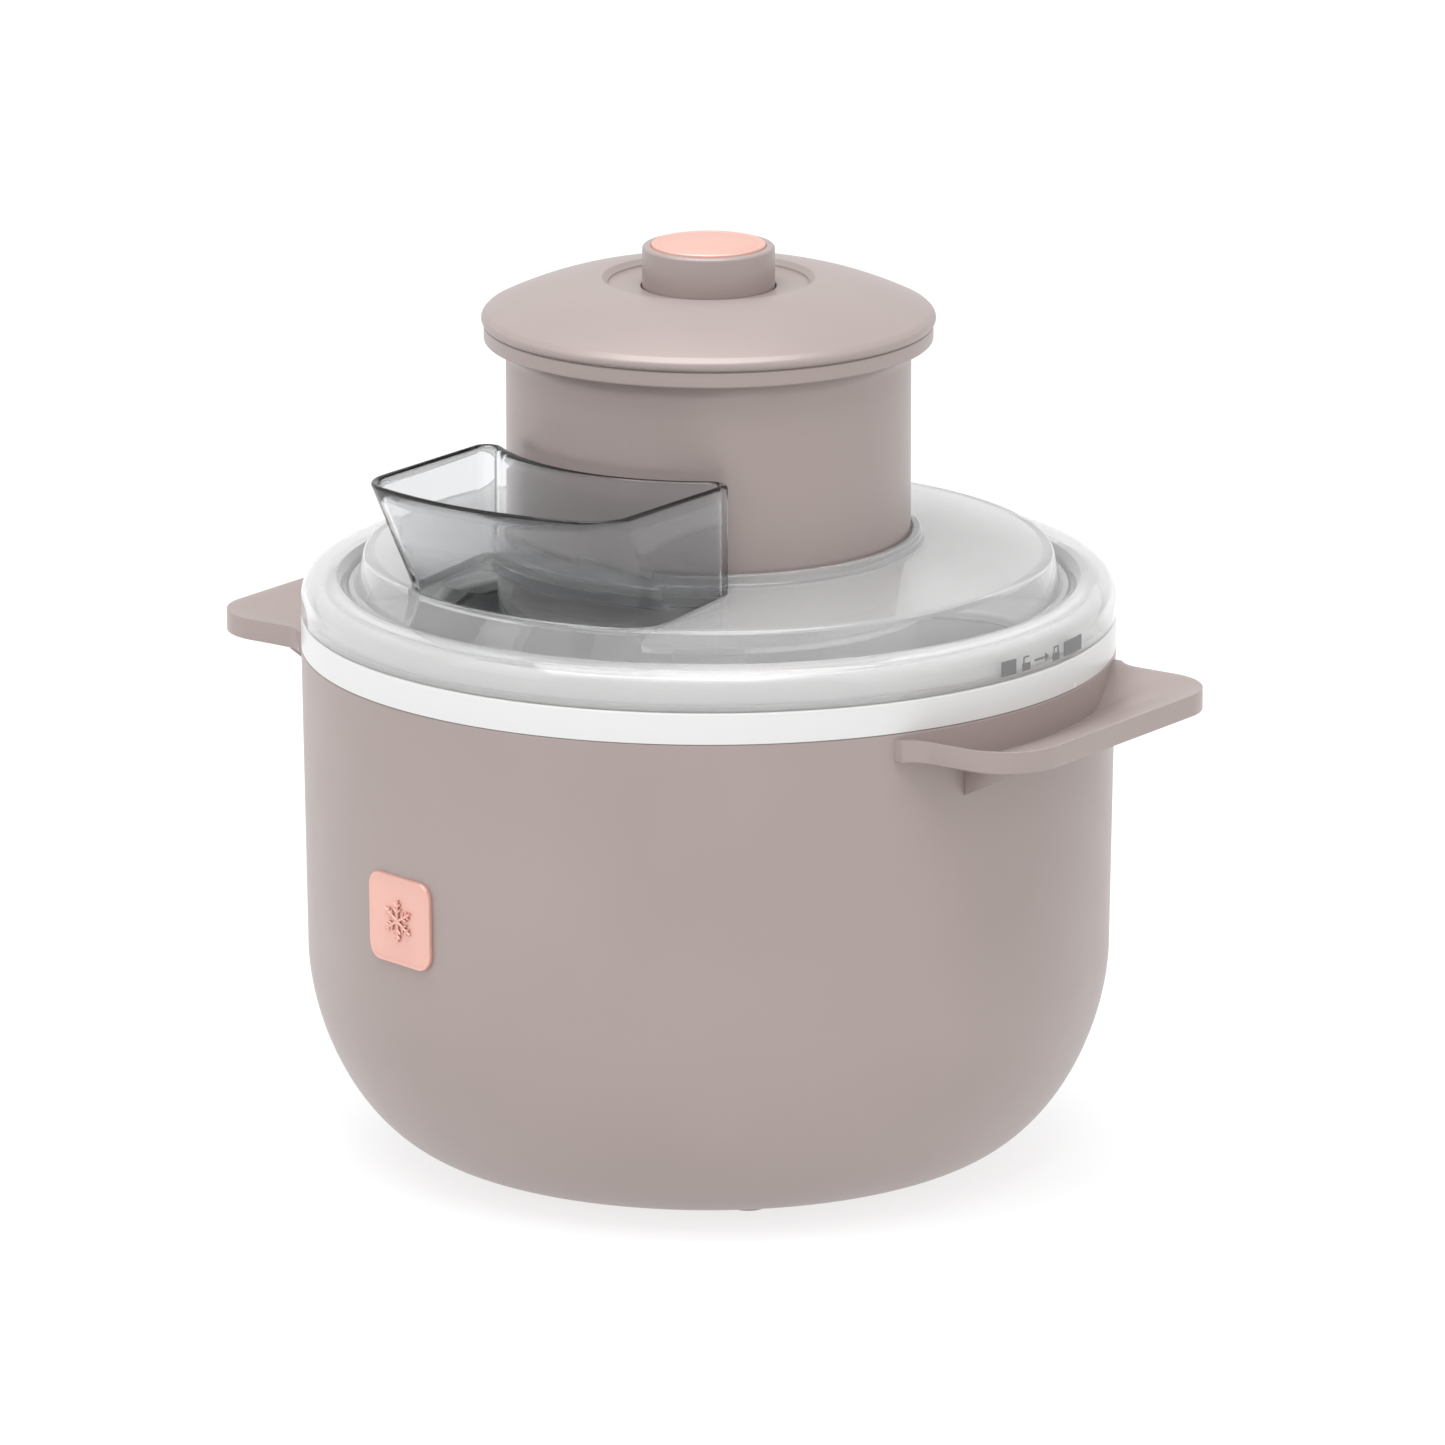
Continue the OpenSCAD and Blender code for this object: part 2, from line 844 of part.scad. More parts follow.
module intermediate_gear() {
    color(white)
        translate([mid_x, 0, gear_z - 0.2])
            difference() {
                union() {
                    rotate(180 / teeth_pinion)
                        gear(teeth_pinion, 6.2);
                    translate([0, 0, 6.2 - eps])
                        gear(teeth_mid, 4.2);
                    translate([0, 0, 10])
                        cylinder(r = 3, h = 2.6);
                }
                translate([0, 0, -1])
                    cylinder(r = 1.48 + run_fit, h = 20);
            }
}

module rotor_pinion() {
    color([0.72, 0.60, 0.35])
        translate([rotor_at[0], rotor_at[1], gear_z + 5.8])
            difference() {
                rotate(180 / teeth_pinion)
                    gear(teeth_pinion, 5.2);
                translate([0, 0, -1])
                    cylinder(r = 2.01, h = 8);
            }
}

// ---------- cap, button and switch ----------

sleeve_z = dish_z - 5.5;

// Height of the cap's domed top at radius r
function dome_z(r) = dish_edge_z - 0.0262 * pow(r - dish_r, 1.716);

// Section of the domed cap
function cap_outline() = concat(
    [[cap_r - 3.6, part_z], [cap_r - 1, part_z]],
    arc(cap_r - 1.6, part_z + 1.4, 1.6, -50, 60, 5),
    [for (i = [0 : 8]) let (r = cap_r - 1 + (dish_r - cap_r + 1) * i / 8) [r, dome_z(r)]],
    [[dish_r - 1.2, dish_z], [button_r + 0.3, dish_z]],
    [[button_r + 0.3, sleeve_z], [button_r + 2.3, sleeve_z], [button_r + 2.3, dish_z - 2.2]],
    [[dish_r + 1, dish_z - 2.2]],
    [for (i = [0 : 5]) let (r = dish_r + 4 + (cap_r - 7.6 - dish_r) * i / 5) [r, dome_z(r) - 2.2]]
);

module motor_cap() {
    color(taupe) {
        rotate_extrude()
            polygon(cap_outline());
        for (a = [30 : 60 : 330])
            rotate(a)
                translate([cap_r - 8.2, -3.5, part_z - 3])
                    cube([1.5, 7, 7.6]);
    }
}

module power_button() {
    floor_t = 2.4;
    color(taupe)
        difference() {
            union() {
                translate([0, 0, sleeve_z - 2])
                    cylinder(r = button_r, h = button_top - sleeve_z + 1.2);
                translate([0, 0, button_top - 0.8 - eps])
                    cylinder(r1 = button_r, r2 = button_r - 0.8, h = 0.8);
                translate([0, 0, sleeve_z - 2])
                    cylinder(r = button_r + 1.6, h = 2);
            }
            translate([0, 0, sleeve_z - 3])
                cylinder(r = button_r - 2, h = button_top - sleeve_z + 3 - floor_t - 1);
            translate([0, 0, button_top - 1])
                cylinder(r = 14.05, h = 4);
        }
}

module button_disc() {
    color(rose_gold)
        translate([0, 0, button_top - 1]) {
            cylinder(r = 14, h = 1.2);
            translate([0, 0, 1.2 - eps])
                cylinder(r1 = 14, r2 = 13.6, h = 0.4);
        }
}

switch_z = bracket_z + 2;
switch_h = 8;
plunger_top = button_top - 3.4;

module switch_plunger() {
    color(white)
        translate([0, 0, switch_z + 4.2])
            cylinder(r = 2.4, h = plunger_top - switch_z - 4.2);
}

module push_switch() {
    color(black)
        difference() {
            union() {
                translate([-7, -7, switch_z])
                    cube([14, 14, switch_h]);
                for (x = [-4, 4])
                    translate([x - 0.4, -2.4, bracket_z - 6])
                        cube([0.8, 4.8, 8 + eps]);
            }
            translate([0, 0, switch_z + 0.8])
                cylinder(r = 2.45, h = 20);
        }
}

module switch_bracket() {
    color(steel)
        difference() {
            intersection() {
                translate([-46.5, -6.5, bracket_z])
                    cube([93, 13, 2]);
                cylinder(r = tube_r - 0.6, h = 300);
            }
            for (x = [-43, 43])
                translate([x, 0, bracket_z - 1])
                    cylinder(r = 1.6, h = 4);
            for (x = [-4, 4])
                translate([x - 0.8, -3, bracket_z - 1])
                    cube([1.6, 6, 4]);
        }
}

module bracket_screws() {
    color(steel)
        for (x = [-43, 43])
            translate([x, 0, bracket_z + 2])
                screw(1.08, 8, 2.4, 1.5);
}

module cord_grommet() {
    color(black)
        difference() {
            union() {
                difference() {
                    translate([0, 44, cord_z])
                        rotate([-90, 0, 0])
                            cylinder(r = 7, h = 8.4);
                    translate([0, 0, cord_z - 20])
                        cylinder(r = motor_r, h = 40);
                }
                translate([0, tube_r - 2, cord_z])
                    rotate([-90, 0, 0])
                        cylinder(r = 4.55, h = 5);
                translate([0, 43.5, cord_z])
                    rotate([-90, 0, 0])
                        cylinder(r = 6, h = 3);
            }
            translate([0, 30, cord_z])
                rotate([-90, 0, 0])
                    cylinder(r = cord_bore / 2, h = 30);
        }
}

spring_r = 4.6;
spring_wire = 0.4;
spring_low = switch_z + switch_h + spring_wire;
spring_high = plunger_top - spring_wire;
spring_turns = 6;
spring_rings = 84;
spring_sides = 8;

// Point of the spring's surface at ring i and side j
function spring_point(i, j) = let (
    t = i / (spring_rings - 1),
    turn = 360 * spring_turns * t,
    side = 360 * j / spring_sides,
    r = spring_r + spring_wire * cos(side)
) [r * cos(turn), r * sin(turn), spring_low + (spring_high - spring_low) * t + spring_wire * sin(side)];

module button_spring() {
    m = spring_sides;
    last = (spring_rings - 1) * m;
    color(steel)
        polyhedron(
            points = [for (i = [0 : spring_rings - 1]) for (j = [0 : m - 1]) spring_point(i, j)],
            faces = concat(
                [[for (j = [0 : m - 1]) j]],
                [[for (j = [m - 1 : -1 : 0]) last + j]],
                [for (i = [0 : spring_rings - 2]) for (j = [0 : m - 1]) for (t = [0, 1])
                    let (
                        a = i * m + j,
                        b = i * m + (j + 1) % m,
                        c = (i + 1) * m + (j + 1) % m,
                        d = (i + 1) * m + j
                    ) t == 0 ? [a, c, b] : [a, d, c]]
            )
        );
}

outer_housing();
base_feet();
badge_plaque();
bowl_rim();
bowl_jacket();
bowl_liner();
coolant_gel();
liner_seal();
filler_plug();
lid_gasket();
lid_dome();
filling_chute();
mixing_paddle();
motor_housing();
motor_base();
motor_cap();
base_screws();
shaft_bush();
gear_plate();
plate_screws();
gear_axle();
motor_can();
stator_coil();
motor_screws();
switch_bracket();
bracket_screws();
push_switch();
cord_grommet();
output_shaft();
output_gear();
intermediate_gear();
motor_rotor();
rotor_pinion();
power_button();
button_disc();
switch_plunger();
button_spring();
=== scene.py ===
"""Looks of the ice cream maker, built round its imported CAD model."""

import json
import math

import bmesh
import bpy
from mathutils import Matrix, Vector


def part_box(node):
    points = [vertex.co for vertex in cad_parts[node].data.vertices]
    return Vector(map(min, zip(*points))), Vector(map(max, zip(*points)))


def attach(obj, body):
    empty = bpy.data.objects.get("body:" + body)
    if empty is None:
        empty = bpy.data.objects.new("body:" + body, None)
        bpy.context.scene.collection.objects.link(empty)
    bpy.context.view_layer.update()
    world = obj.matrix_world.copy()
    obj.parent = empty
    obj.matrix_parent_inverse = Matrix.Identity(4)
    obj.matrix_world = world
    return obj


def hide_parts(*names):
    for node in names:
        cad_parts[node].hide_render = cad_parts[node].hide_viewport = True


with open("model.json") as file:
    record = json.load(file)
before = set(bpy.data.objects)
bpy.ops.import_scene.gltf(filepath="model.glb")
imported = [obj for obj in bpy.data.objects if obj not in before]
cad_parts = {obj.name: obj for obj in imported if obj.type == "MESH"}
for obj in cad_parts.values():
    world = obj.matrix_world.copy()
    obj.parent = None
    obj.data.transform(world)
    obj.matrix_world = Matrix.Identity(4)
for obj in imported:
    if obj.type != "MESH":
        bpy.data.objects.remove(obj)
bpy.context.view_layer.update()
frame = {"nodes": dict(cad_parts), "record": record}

# ---------------------------------------------------------------------------
# Driving sizes, in millimetres, read from the frame or as the design has them
# ---------------------------------------------------------------------------

MM = 0.001


def low(node):
    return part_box(node)[0] / MM


def high(node):
    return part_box(node)[1] / MM


BODY_R = high("bowl_rim").x
RIM_Z = high("outer_housing").z
LAND_Z = RIM_Z + 7.7
HANDLE_R = high("outer_housing").x
FOOT_H = low("outer_housing").z
MOTOR_R = high("motor_base").x
FLOOR_TOP = low("motor_base").z
CAP_R = high("motor_cap").x
CHUTE_TOP = high("filling_chute").z
BUTTON_TOP = high("power_button").z
LINER_FLOOR = low("bowl_liner").z + 1.2
WALL = 2.5
BEND_Z, BEND_R, BASE_R, BEND_POWER = 52.0, BODY_R - 1.1, 66.0, 1.78
HANDLE_T = 5.3
LID_T = 2.0
LID_Z = LAND_Z + 0.3
ROLL_R = 6.0
ROLL_Z = RIM_Z + 18.2 - ROLL_R
VALLEY_Z = RIM_Z + 14.5
SHOULDER_Z = RIM_Z + 24.0
PLATEAU_RISE = 2.6
COLLAR_Z = RIM_Z + 29.3
COLLAR_R = MOTOR_R + 2.5
WELL_R = MOTOR_R + 0.5
HUB_HOLE_R = 9.0
LAND_R = BODY_R - 6.8
BEAD_R = 1.55
BEAD_Z = LAND_Z + 5.85
FLARE_Z = RIM_Z + 71.5
PART_Z = RIM_Z + 80.2
DISH_R = 26.0
BOSS_AT, BOSS_ANGLES = 42.5, (60, 180, 300)
DISH_EDGE_Z = RIM_Z + 91.5
BUTTON_R = 16.2
DISC_R = 14.0
DOME_FALL, DOME_POWER = 0.0262, 1.716
CAP_T = 2.2
INLET_Z = RIM_Z + 62
JACKET_BOTTOM = 14.0
SEAT_Z = RIM_Z - 0.8

# ---------------------------------------------------------------------------
# Mesh helpers
# ---------------------------------------------------------------------------


def arc(x, y, radius, start, end, steps):
    """Points on an arc about (x, y), angles in degrees."""
    angles = [math.radians(start + (end - start) * i / steps) for i in range(steps + 1)]
    return [(x + radius * math.cos(a), y + radius * math.sin(a)) for a in angles]


def rounded(corners, steps):
    """Closed outline through (x, y, fillet) corners, each fillet an arc tangent to both sides."""
    points = []
    count = len(corners)
    for i, (x, y, fillet) in enumerate(corners):
        if fillet <= 0:
            points.append((x, y))
            continue
        here = Vector((x, y))
        back = Vector(corners[i - 1][:2]) - here
        ahead = Vector(corners[(i + 1) % count][:2]) - here
        half = back.angle(ahead) / 2
        if half > math.radians(89):
            points.append((x, y))
            continue
        reach = min(fillet / math.tan(half), back.length * 0.49, ahead.length * 0.49)
        radius = reach * math.tan(half)
        middle = (back.normalized() + ahead.normalized()).normalized()
        centre = here + middle * (radius / math.sin(half))
        first = here + back.normalized() * reach - centre
        last = here + ahead.normalized() * reach - centre
        turn = first.angle_signed(last)
        for k in range(steps + 1):
            swing = Matrix.Rotation(-turn * k / steps, 2) @ first
            points.append(tuple(centre + swing))
    return points


def make_object(name, verts, faces, smooth_angle=40):
    """A mesh object from points in millimetres."""
    mesh = bpy.data.meshes.new(name)
    mesh.from_pydata([(x * MM, y * MM, z * MM) for x, y, z in verts], [], faces)
    bm = bmesh.new()
    bm.from_mesh(mesh)
    bmesh.ops.remove_doubles(bm, verts=bm.verts, dist=1e-7)
    bmesh.ops.recalc_face_normals(bm, faces=bm.faces)
    bm.to_mesh(mesh)
    bm.free()
    obj = bpy.data.objects.new(name, mesh)
    bpy.context.collection.objects.link(obj)
    smooth(obj, smooth_angle)
    return obj


def smooth(obj, angle=40):
    """Smooth shading, with edges sharper than the angle kept sharp."""
    for face in obj.data.polygons:
        face.use_smooth = True
    obj.data.set_sharp_from_angle(angle=math.radians(angle))


def lathe(name, outline, segments=256, smooth_angle=40):
    """Solid of revolution about Z of a closed (r, z) outline; it may start and end on the axis."""
    verts, faces, rings = [], [], []
    for r, z in outline:
        if r < 1e-6:
            rings.append([len(verts)] * segments)
            verts.append((0, 0, z))
            continue
        rings.append(list(range(len(verts), len(verts) + segments)))
        for k in range(segments):
            a = 2 * math.pi * k / segments
            verts.append((r * math.cos(a), r * math.sin(a), z))
    for i, ring in enumerate(rings):
        following = rings[(i + 1) % len(rings)]
        if ring[0] == ring[1] and following[0] == following[1]:
            continue
        for k in range(segments):
            n = (k + 1) % segments
            quad = [ring[k], ring[n], following[n], following[k]]
            faces.append(list(dict.fromkeys(quad)))
    return make_object(name, verts, faces, smooth_angle)


def loft(name, rings, closed_ends=True):
    """A tube through rings of equally many points; the last joins the first unless its ends close."""
    count = len(rings[0])
    verts = [p for ring in rings for p in ring]
    faces = []
    spans = len(rings) - 1 if closed_ends else len(rings)
    for j in range(spans):
        for i in range(count):
            n = (i + 1) % count
            m = (j + 1) % len(rings)
            faces.append([j * count + i, j * count + n, m * count + n, m * count + i])
    if closed_ends:
        faces.append(list(range(count))[::-1])
        faces.append([(len(rings) - 1) * count + i for i in range(count)])
    return make_object(name, verts, faces)


def join(name, objects):
    """One object made of several."""
    target = bmesh.new()
    for obj in objects:
        target.from_mesh(obj.data)
        bpy.data.objects.remove(obj)
    mesh = bpy.data.meshes.new(name)
    target.to_mesh(mesh)
    target.free()
    made = bpy.data.objects.new(name, mesh)
    bpy.context.collection.objects.link(made)
    smooth(made)
    return made


def combine(obj, other, operation):
    """Applies a boolean of the other object, which is then removed."""
    step = obj.modifiers.new(operation, "BOOLEAN")
    step.operation = operation
    step.solver = "EXACT"
    step.object = other
    bake_modifiers(obj)
    bpy.data.objects.remove(other)


def bake_modifiers(obj):
    """Replaces an object's mesh with the result of its modifiers."""
    view = bpy.context.evaluated_depsgraph_get()
    mesh = bpy.data.meshes.new_from_object(obj.evaluated_get(view))
    obj.modifiers.clear()
    obj.data = mesh


def bevel(obj, width, segments, angle=40):
    """Rounds the sharp edges of an object."""
    step = obj.modifiers.new("edges", "BEVEL")
    step.width = width * MM
    step.segments = segments
    step.limit_method = "ANGLE"
    step.angle_limit = math.radians(angle)
    step.harden_normals = False
    bake_modifiers(obj)
    smooth(obj, 50)


def prism(name, outline, bottom, top):
    """Upright solid of a closed (x, y) outline."""
    return loft(name, [[(x, y, bottom) for x, y in outline], [(x, y, top) for x, y in outline]])


# ---------------------------------------------------------------------------
# Materials
# ---------------------------------------------------------------------------


def srgb(red, green, blue):
    """Linear colour from 0 to 255 display values."""
    def linear(value):
        c = value / 255
        return c / 12.92 if c <= 0.04045 else ((c + 0.055) / 1.055) ** 2.4
    return (linear(red), linear(green), linear(blue), 1.0)


def new_material(name, colour, **sockets):
    """A Principled material; sockets are given with underscores for spaces."""
    made = bpy.data.materials.new(name)
    made.use_nodes = True
    shader = made.node_tree.nodes["Principled BSDF"]
    shader.inputs["Base Color"].default_value = colour
    for key, value in sockets.items():
        shader.inputs[key.replace("_", " ")].default_value = value
    return made


def noise(material, scale, detail=3.0, stretch=None):
    """A noise texture in object space, its scale in features per metre."""
    nodes, links = material.node_tree.nodes, material.node_tree.links
    where = nodes.new("ShaderNodeTexCoord")
    texture = nodes.new("ShaderNodeTexNoise")
    texture.inputs["Scale"].default_value = scale
    texture.inputs["Detail"].default_value = detail
    if stretch is None:
        links.new(where.outputs["Object"], texture.inputs["Vector"])
    else:
        mapping = nodes.new("ShaderNodeMapping")
        mapping.inputs["Scale"].default_value = stretch
        links.new(where.outputs["Object"], mapping.inputs["Vector"])
        links.new(mapping.outputs["Vector"], texture.inputs["Vector"])
    return texture


def vary_colour(material, texture, dark, light):
    """Base colour that drifts between two near shades."""
    nodes, links = material.node_tree.nodes, material.node_tree.links
    ramp = nodes.new("ShaderNodeValToRGB")
    ramp.color_ramp.elements[0].position = 0.3
    ramp.color_ramp.elements[1].position = 0.7
    ramp.color_ramp.elements[0].color = dark
    ramp.color_ramp.elements[1].color = light
    links.new(texture.outputs["Fac"], ramp.inputs["Fac"])
    links.new(ramp.outputs["Color"], nodes["Principled BSDF"].inputs["Base Color"])


def vary_roughness(material, texture, smoothest, roughest):
    nodes, links = material.node_tree.nodes, material.node_tree.links
    span = nodes.new("ShaderNodeMapRange")
    span.inputs["To Min"].default_value = smoothest
    span.inputs["To Max"].default_value = roughest
    links.new(texture.outputs["Fac"], span.inputs["Value"])
    links.new(span.outputs["Result"], nodes["Principled BSDF"].inputs["Roughness"])


def add_bump(material, texture, strength, height):
    nodes, links = material.node_tree.nodes, material.node_tree.links
    bump = nodes.new("ShaderNodeBump")
    bump.inputs["Strength"].default_value = strength
    bump.inputs["Distance"].default_value = height * MM
    links.new(texture.outputs["Fac"], bump.inputs["Height"])
    links.new(bump.outputs["Normal"], nodes["Principled BSDF"].inputs["Normal"])


def shade(colour, factor):
    return tuple(c * factor for c in colour[:3]) + (1.0,)


def moulded(name, colour, roughness, grain=1400, grain_height=0.02, drift=0.03, **sockets):
    """Moulded plastic: a fine spark-eroded grain and a faint drift of shade."""
    made = new_material(name, colour, **sockets)
    vary_colour(made, noise(made, 18), shade(colour, 1 - drift), shade(colour, 1 + drift))
    vary_roughness(made, noise(made, 60), roughness - 0.04, roughness + 0.05)
    add_bump(made, noise(made, grain, 2.0), 0.25, grain_height)
    return made


def brushed(name, colour, roughness, stretch):
    """Metal with a directional grain."""
    made = new_material(name, colour, Metallic=1.0)
    lines = noise(made, 900, 4.0, stretch)
    vary_colour(made, noise(made, 40), shade(colour, 0.96), shade(colour, 1.03))
    vary_roughness(made, lines, roughness - 0.06, roughness + 0.08)
    add_bump(made, lines, 0.15, 0.01)
    return made


def spun(name, colour, roughness, metallic=1.0):
    """Metal turned on a lathe: fine rings about the machine's axis."""
    made = new_material(name, colour, Metallic=metallic)
    nodes, links = made.node_tree.nodes, made.node_tree.links
    where = nodes.new("ShaderNodeTexCoord")
    wave = nodes.new("ShaderNodeTexWave")
    wave.wave_type = "RINGS"
    wave.rings_direction = "Z"
    wave.inputs["Scale"].default_value = 420
    wave.inputs["Distortion"].default_value = 0.6
    wave.inputs["Detail"].default_value = 3
    links.new(where.outputs["Object"], wave.inputs["Vector"])
    vary_colour(made, noise(made, 30), shade(colour, 0.95), shade(colour, 1.03))
    vary_roughness(made, wave, roughness - 0.04, roughness + 0.06)
    add_bump(made, wave, 0.12, 0.01)
    return made


def clear(name, colour, transmission):
    """Clear styrene; with less than full transmission it is faintly milky."""
    made = new_material(name, colour, IOR=1.5, Transmission_Weight=transmission)
    vary_roughness(made, noise(made, 25), 0.015, 0.04)
    add_bump(made, noise(made, 45, 1.0), 0.02, 0.05)
    return made


TAUPE = srgb(159, 146, 143)
ROSE = srgb(228, 180, 168)

materials = {
    "taupe_plastic": moulded("taupe_plastic", TAUPE, 0.36, Metallic=0.22),
    "foot_pad": moulded("foot_pad", shade(TAUPE, 0.9), 0.7, grain=900),
    "rose_gold": spun("rose_gold", ROSE, 0.42, 0.55),
    "white_plastic": moulded("white_plastic", srgb(213, 214, 213), 0.25, drift=0.01, grain_height=0.008),
    "jacket_plastic": moulded("jacket_plastic", srgb(232, 232, 230), 0.45, drift=0.015),
    "liner_aluminium": spun("liner_aluminium", srgb(196, 198, 200), 0.32),
    "coolant": moulded("coolant", srgb(150, 190, 215), 0.2, Transmission_Weight=0.4),
    "seal_rubber": moulded("seal_rubber", srgb(70, 70, 72), 0.7),
    "silicone": moulded("silicone", srgb(168, 168, 166), 0.5, drift=0.01),
    "clear_plastic": clear("clear_plastic", (0.99, 0.99, 0.99, 1), 0.78),
    "chute_plastic": clear("chute_plastic", (0.82, 0.83, 0.84, 1), 1.0),
    "paddle_plastic": moulded("paddle_plastic", srgb(236, 236, 232), 0.3, drift=0.01),
    "gear_plastic": moulded("gear_plastic", srgb(232, 228, 214), 0.35, drift=0.02),
    "steel": brushed("steel", srgb(190, 192, 196), 0.28, (1, 1, 12)),
    "brass": brushed("brass", srgb(214, 178, 104), 0.25, (1, 12, 1)),
    "magnet": moulded("magnet", srgb(70, 70, 74), 0.5, Metallic=0.6),
    "copper_coil": brushed("copper_coil", srgb(196, 110, 64), 0.3, (1, 1, 40)),
    "black_plastic": moulded("black_plastic", srgb(38, 38, 40), 0.45),
    "mark_print": moulded("mark_print", srgb(120, 122, 122), 0.5),
}


def finish_piece(obj, body, slot, replaces=(), material=None):
    """Gives a piece its material and its body, and hides the CAD nodes it stands for."""
    obj.data.materials.clear()
    obj.data.materials.append(materials[material or slot])
    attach(obj, body)
    if replaces:
        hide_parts(*replaces)
    return obj


# ---------------------------------------------------------------------------
# Housing
# ---------------------------------------------------------------------------


def wall_r(z):
    """Radius of the housing's tapered wall at height z, above its bend."""
    return BEND_R + (BODY_R - BEND_R) * (z - BEND_Z) / (RIM_Z - BEND_Z)


def pot_side(inset):
    """Half section of the pot from its axis to just under its rim, moved inwards by inset."""
    bottom = FOOT_H + inset
    steps = 40
    points = [(0, bottom)]
    for i in range(steps + 1):
        a = math.pi / 2 * i / steps
        points.append((
            BASE_R - inset + (BEND_R - BASE_R) * math.sin(a) ** (2 / BEND_POWER),
            BEND_Z - (BEND_Z - bottom) * math.cos(a) ** (2 / BEND_POWER),
        ))
    return points


def housing_body():
    edge = 0.7
    outer = pot_side(0)
    inner = pot_side(WALL)
    rim = arc(BODY_R - edge, RIM_Z - edge, edge, 0, 90, 4)
    rim += arc(BODY_R - WALL + edge, RIM_Z - edge, edge, 90, 180, 4)
    return lathe("housing_body", outer + rim + inner[::-1])


HANDLE_TOP_Z = RIM_Z - 1.5
HANDLE_DIP = 7.7
HANDLE_W = 44.2
HANDLE_CORNER = 15.0
HANDLE_ROOT_X = 86
FLARE_X, FLARE_R = 97, 8.5
CUT_START_X, CUT_STEP_X, CUTS_X = 88.05, 1.5, 23
CUT_STEP_Y, CUTS_EACH_SIDE = 2.35, 18
TOP_STEEPEST, UNDER_STEEPEST = 0.5, 0.36


def handle_dip(x, y, steepest):
    """How far a wing's dished face lies below its level edge, sinking towards the housing's wall."""
    y = abs(y)
    over_x, over_y = x - (HANDLE_R - HANDLE_CORNER), y - (HANDLE_W - HANDLE_CORNER)
    if over_x > 0 and over_y > 0:
        to_edge = HANDLE_CORNER - math.hypot(over_x, over_y)
    else:
        to_edge = min(HANDLE_R - x, HANDLE_W - y)
    to_edge = max(to_edge - 0.8, 0.0)
    to_wall = max(math.hypot(x, y) - BODY_R, 0.0)
    if to_edge < 1e-6:
        return 0.0
    return min(HANDLE_DIP * to_edge / (to_edge + to_wall), steepest * to_edge)


def wing_handle(name, turn):
    """A wing, cut into cells so that its faces can follow the dish, with rounded edges."""
    flare = arc(FLARE_X, HANDLE_W + FLARE_R, FLARE_R, -140, -90, 8)
    outline = [(HANDLE_ROOT_X, flare[0][1])] + flare
    outline += arc(HANDLE_R - HANDLE_CORNER, HANDLE_W - HANDLE_CORNER, HANDLE_CORNER, 90, 0, 16)
    outline += arc(HANDLE_R - HANDLE_CORNER, HANDLE_CORNER - HANDLE_W, HANDLE_CORNER, 0, -90, 16)
    outline += [(x, -y) for x, y in flare[::-1]] + [(HANDLE_ROOT_X, -flare[0][1])]
    bm = bmesh.new()
    bottom = [bm.verts.new((px * MM, py * MM, 0)) for px, py in outline]
    face = bm.faces.new(bottom)
    lifted = bmesh.ops.extrude_face_region(bm, geom=[face])["geom"]
    for vert in lifted:
        if isinstance(vert, bmesh.types.BMVert):
            vert.co.z = MM
    for i in range(CUTS_X):
        cut_all(bm, (CUT_START_X + CUT_STEP_X * i, 0, 0), (1, 0, 0))
    for k in range(-CUTS_EACH_SIDE, CUTS_EACH_SIDE + 1):
        cut_all(bm, (0, CUT_STEP_Y * k, 0), (0, 1, 0))
    for vert in bm.verts:
        x, y = vert.co.x / MM, vert.co.y / MM
        if vert.co.z > MM / 2:
            vert.co.z = (HANDLE_TOP_Z - handle_dip(x, y, TOP_STEEPEST)) * MM
        else:
            vert.co.z = (HANDLE_TOP_Z - HANDLE_T - handle_dip(x, y, UNDER_STEEPEST)) * MM
    bmesh.ops.recalc_face_normals(bm, faces=bm.faces)
    mesh = bpy.data.meshes.new(name)
    bm.to_mesh(mesh)
    bm.free()
    obj = bpy.data.objects.new(name, mesh)
    bpy.context.collection.objects.link(obj)
    bevel(obj, 0.8, 3, 60)
    core = prism("core", arc(0, 0, BODY_R - 1.4, 0, 360, 180)[:-1], RIM_Z - 40, RIM_Z + 20)
    combine(obj, core, "DIFFERENCE")
    parts = [obj]
    for side in (-27.5, 27.5):
        parts.append(handle_rib(side))
    made = join(name, parts)
    made.data.transform(Matrix.Rotation(turn, 4, "Z"))
    return made


def cut_all(bm, point, normal):
    """Cuts every face of a mesh with a plane, keeping both sides."""
    bmesh.ops.bisect_plane(
        bm, geom=bm.verts[:] + bm.edges[:] + bm.faces[:], dist=1e-7,
        plane_co=[c * MM for c in point], plane_no=normal,
    )


def handle_rib(side):
    """A low gusset under a handle."""
    root = HANDLE_TOP_Z - HANDLE_DIP - HANDLE_T
    outline = [(95.6, root - 3.8), (95.6, root + 2.5), (114.5, root + 6.6), (114.5, root + 5.6)]
    rings = [[(x, side + s, z) for x, z in outline] for s in (-1.1, 1.1)]
    rib = loft("rib", rings)
    bevel(rib, 0.35, 2)
    return rib


def base_feet():
    pads = []
    for angle in (45, 135, 225, 315):
        corners = [
            (0, 0), *arc(4.4, 1.0, 1.0, -90, -20, 4), *arc(5.2, FOOT_H - 0.5, 0.8, -10, 60, 4),
            (5.4, FOOT_H + 0.02), (0, FOOT_H + 0.02),
        ]
        pad = lathe("pad", corners, 48)
        pad.data.transform(Matrix.Translation((58 * MM, 0, 0)))
        pad.data.transform(Matrix.Rotation(math.radians(angle), 4, "Z"))
        pads.append(pad)
    return join("foot_pads", pads)


# ---------------------------------------------------------------------------
# Plaque with a snowflake
# ---------------------------------------------------------------------------

BADGE_ANGLE = math.radians(-103)
BADGE_Z = RIM_Z - 53
BADGE_W, BADGE_H = 22.4, 22.0


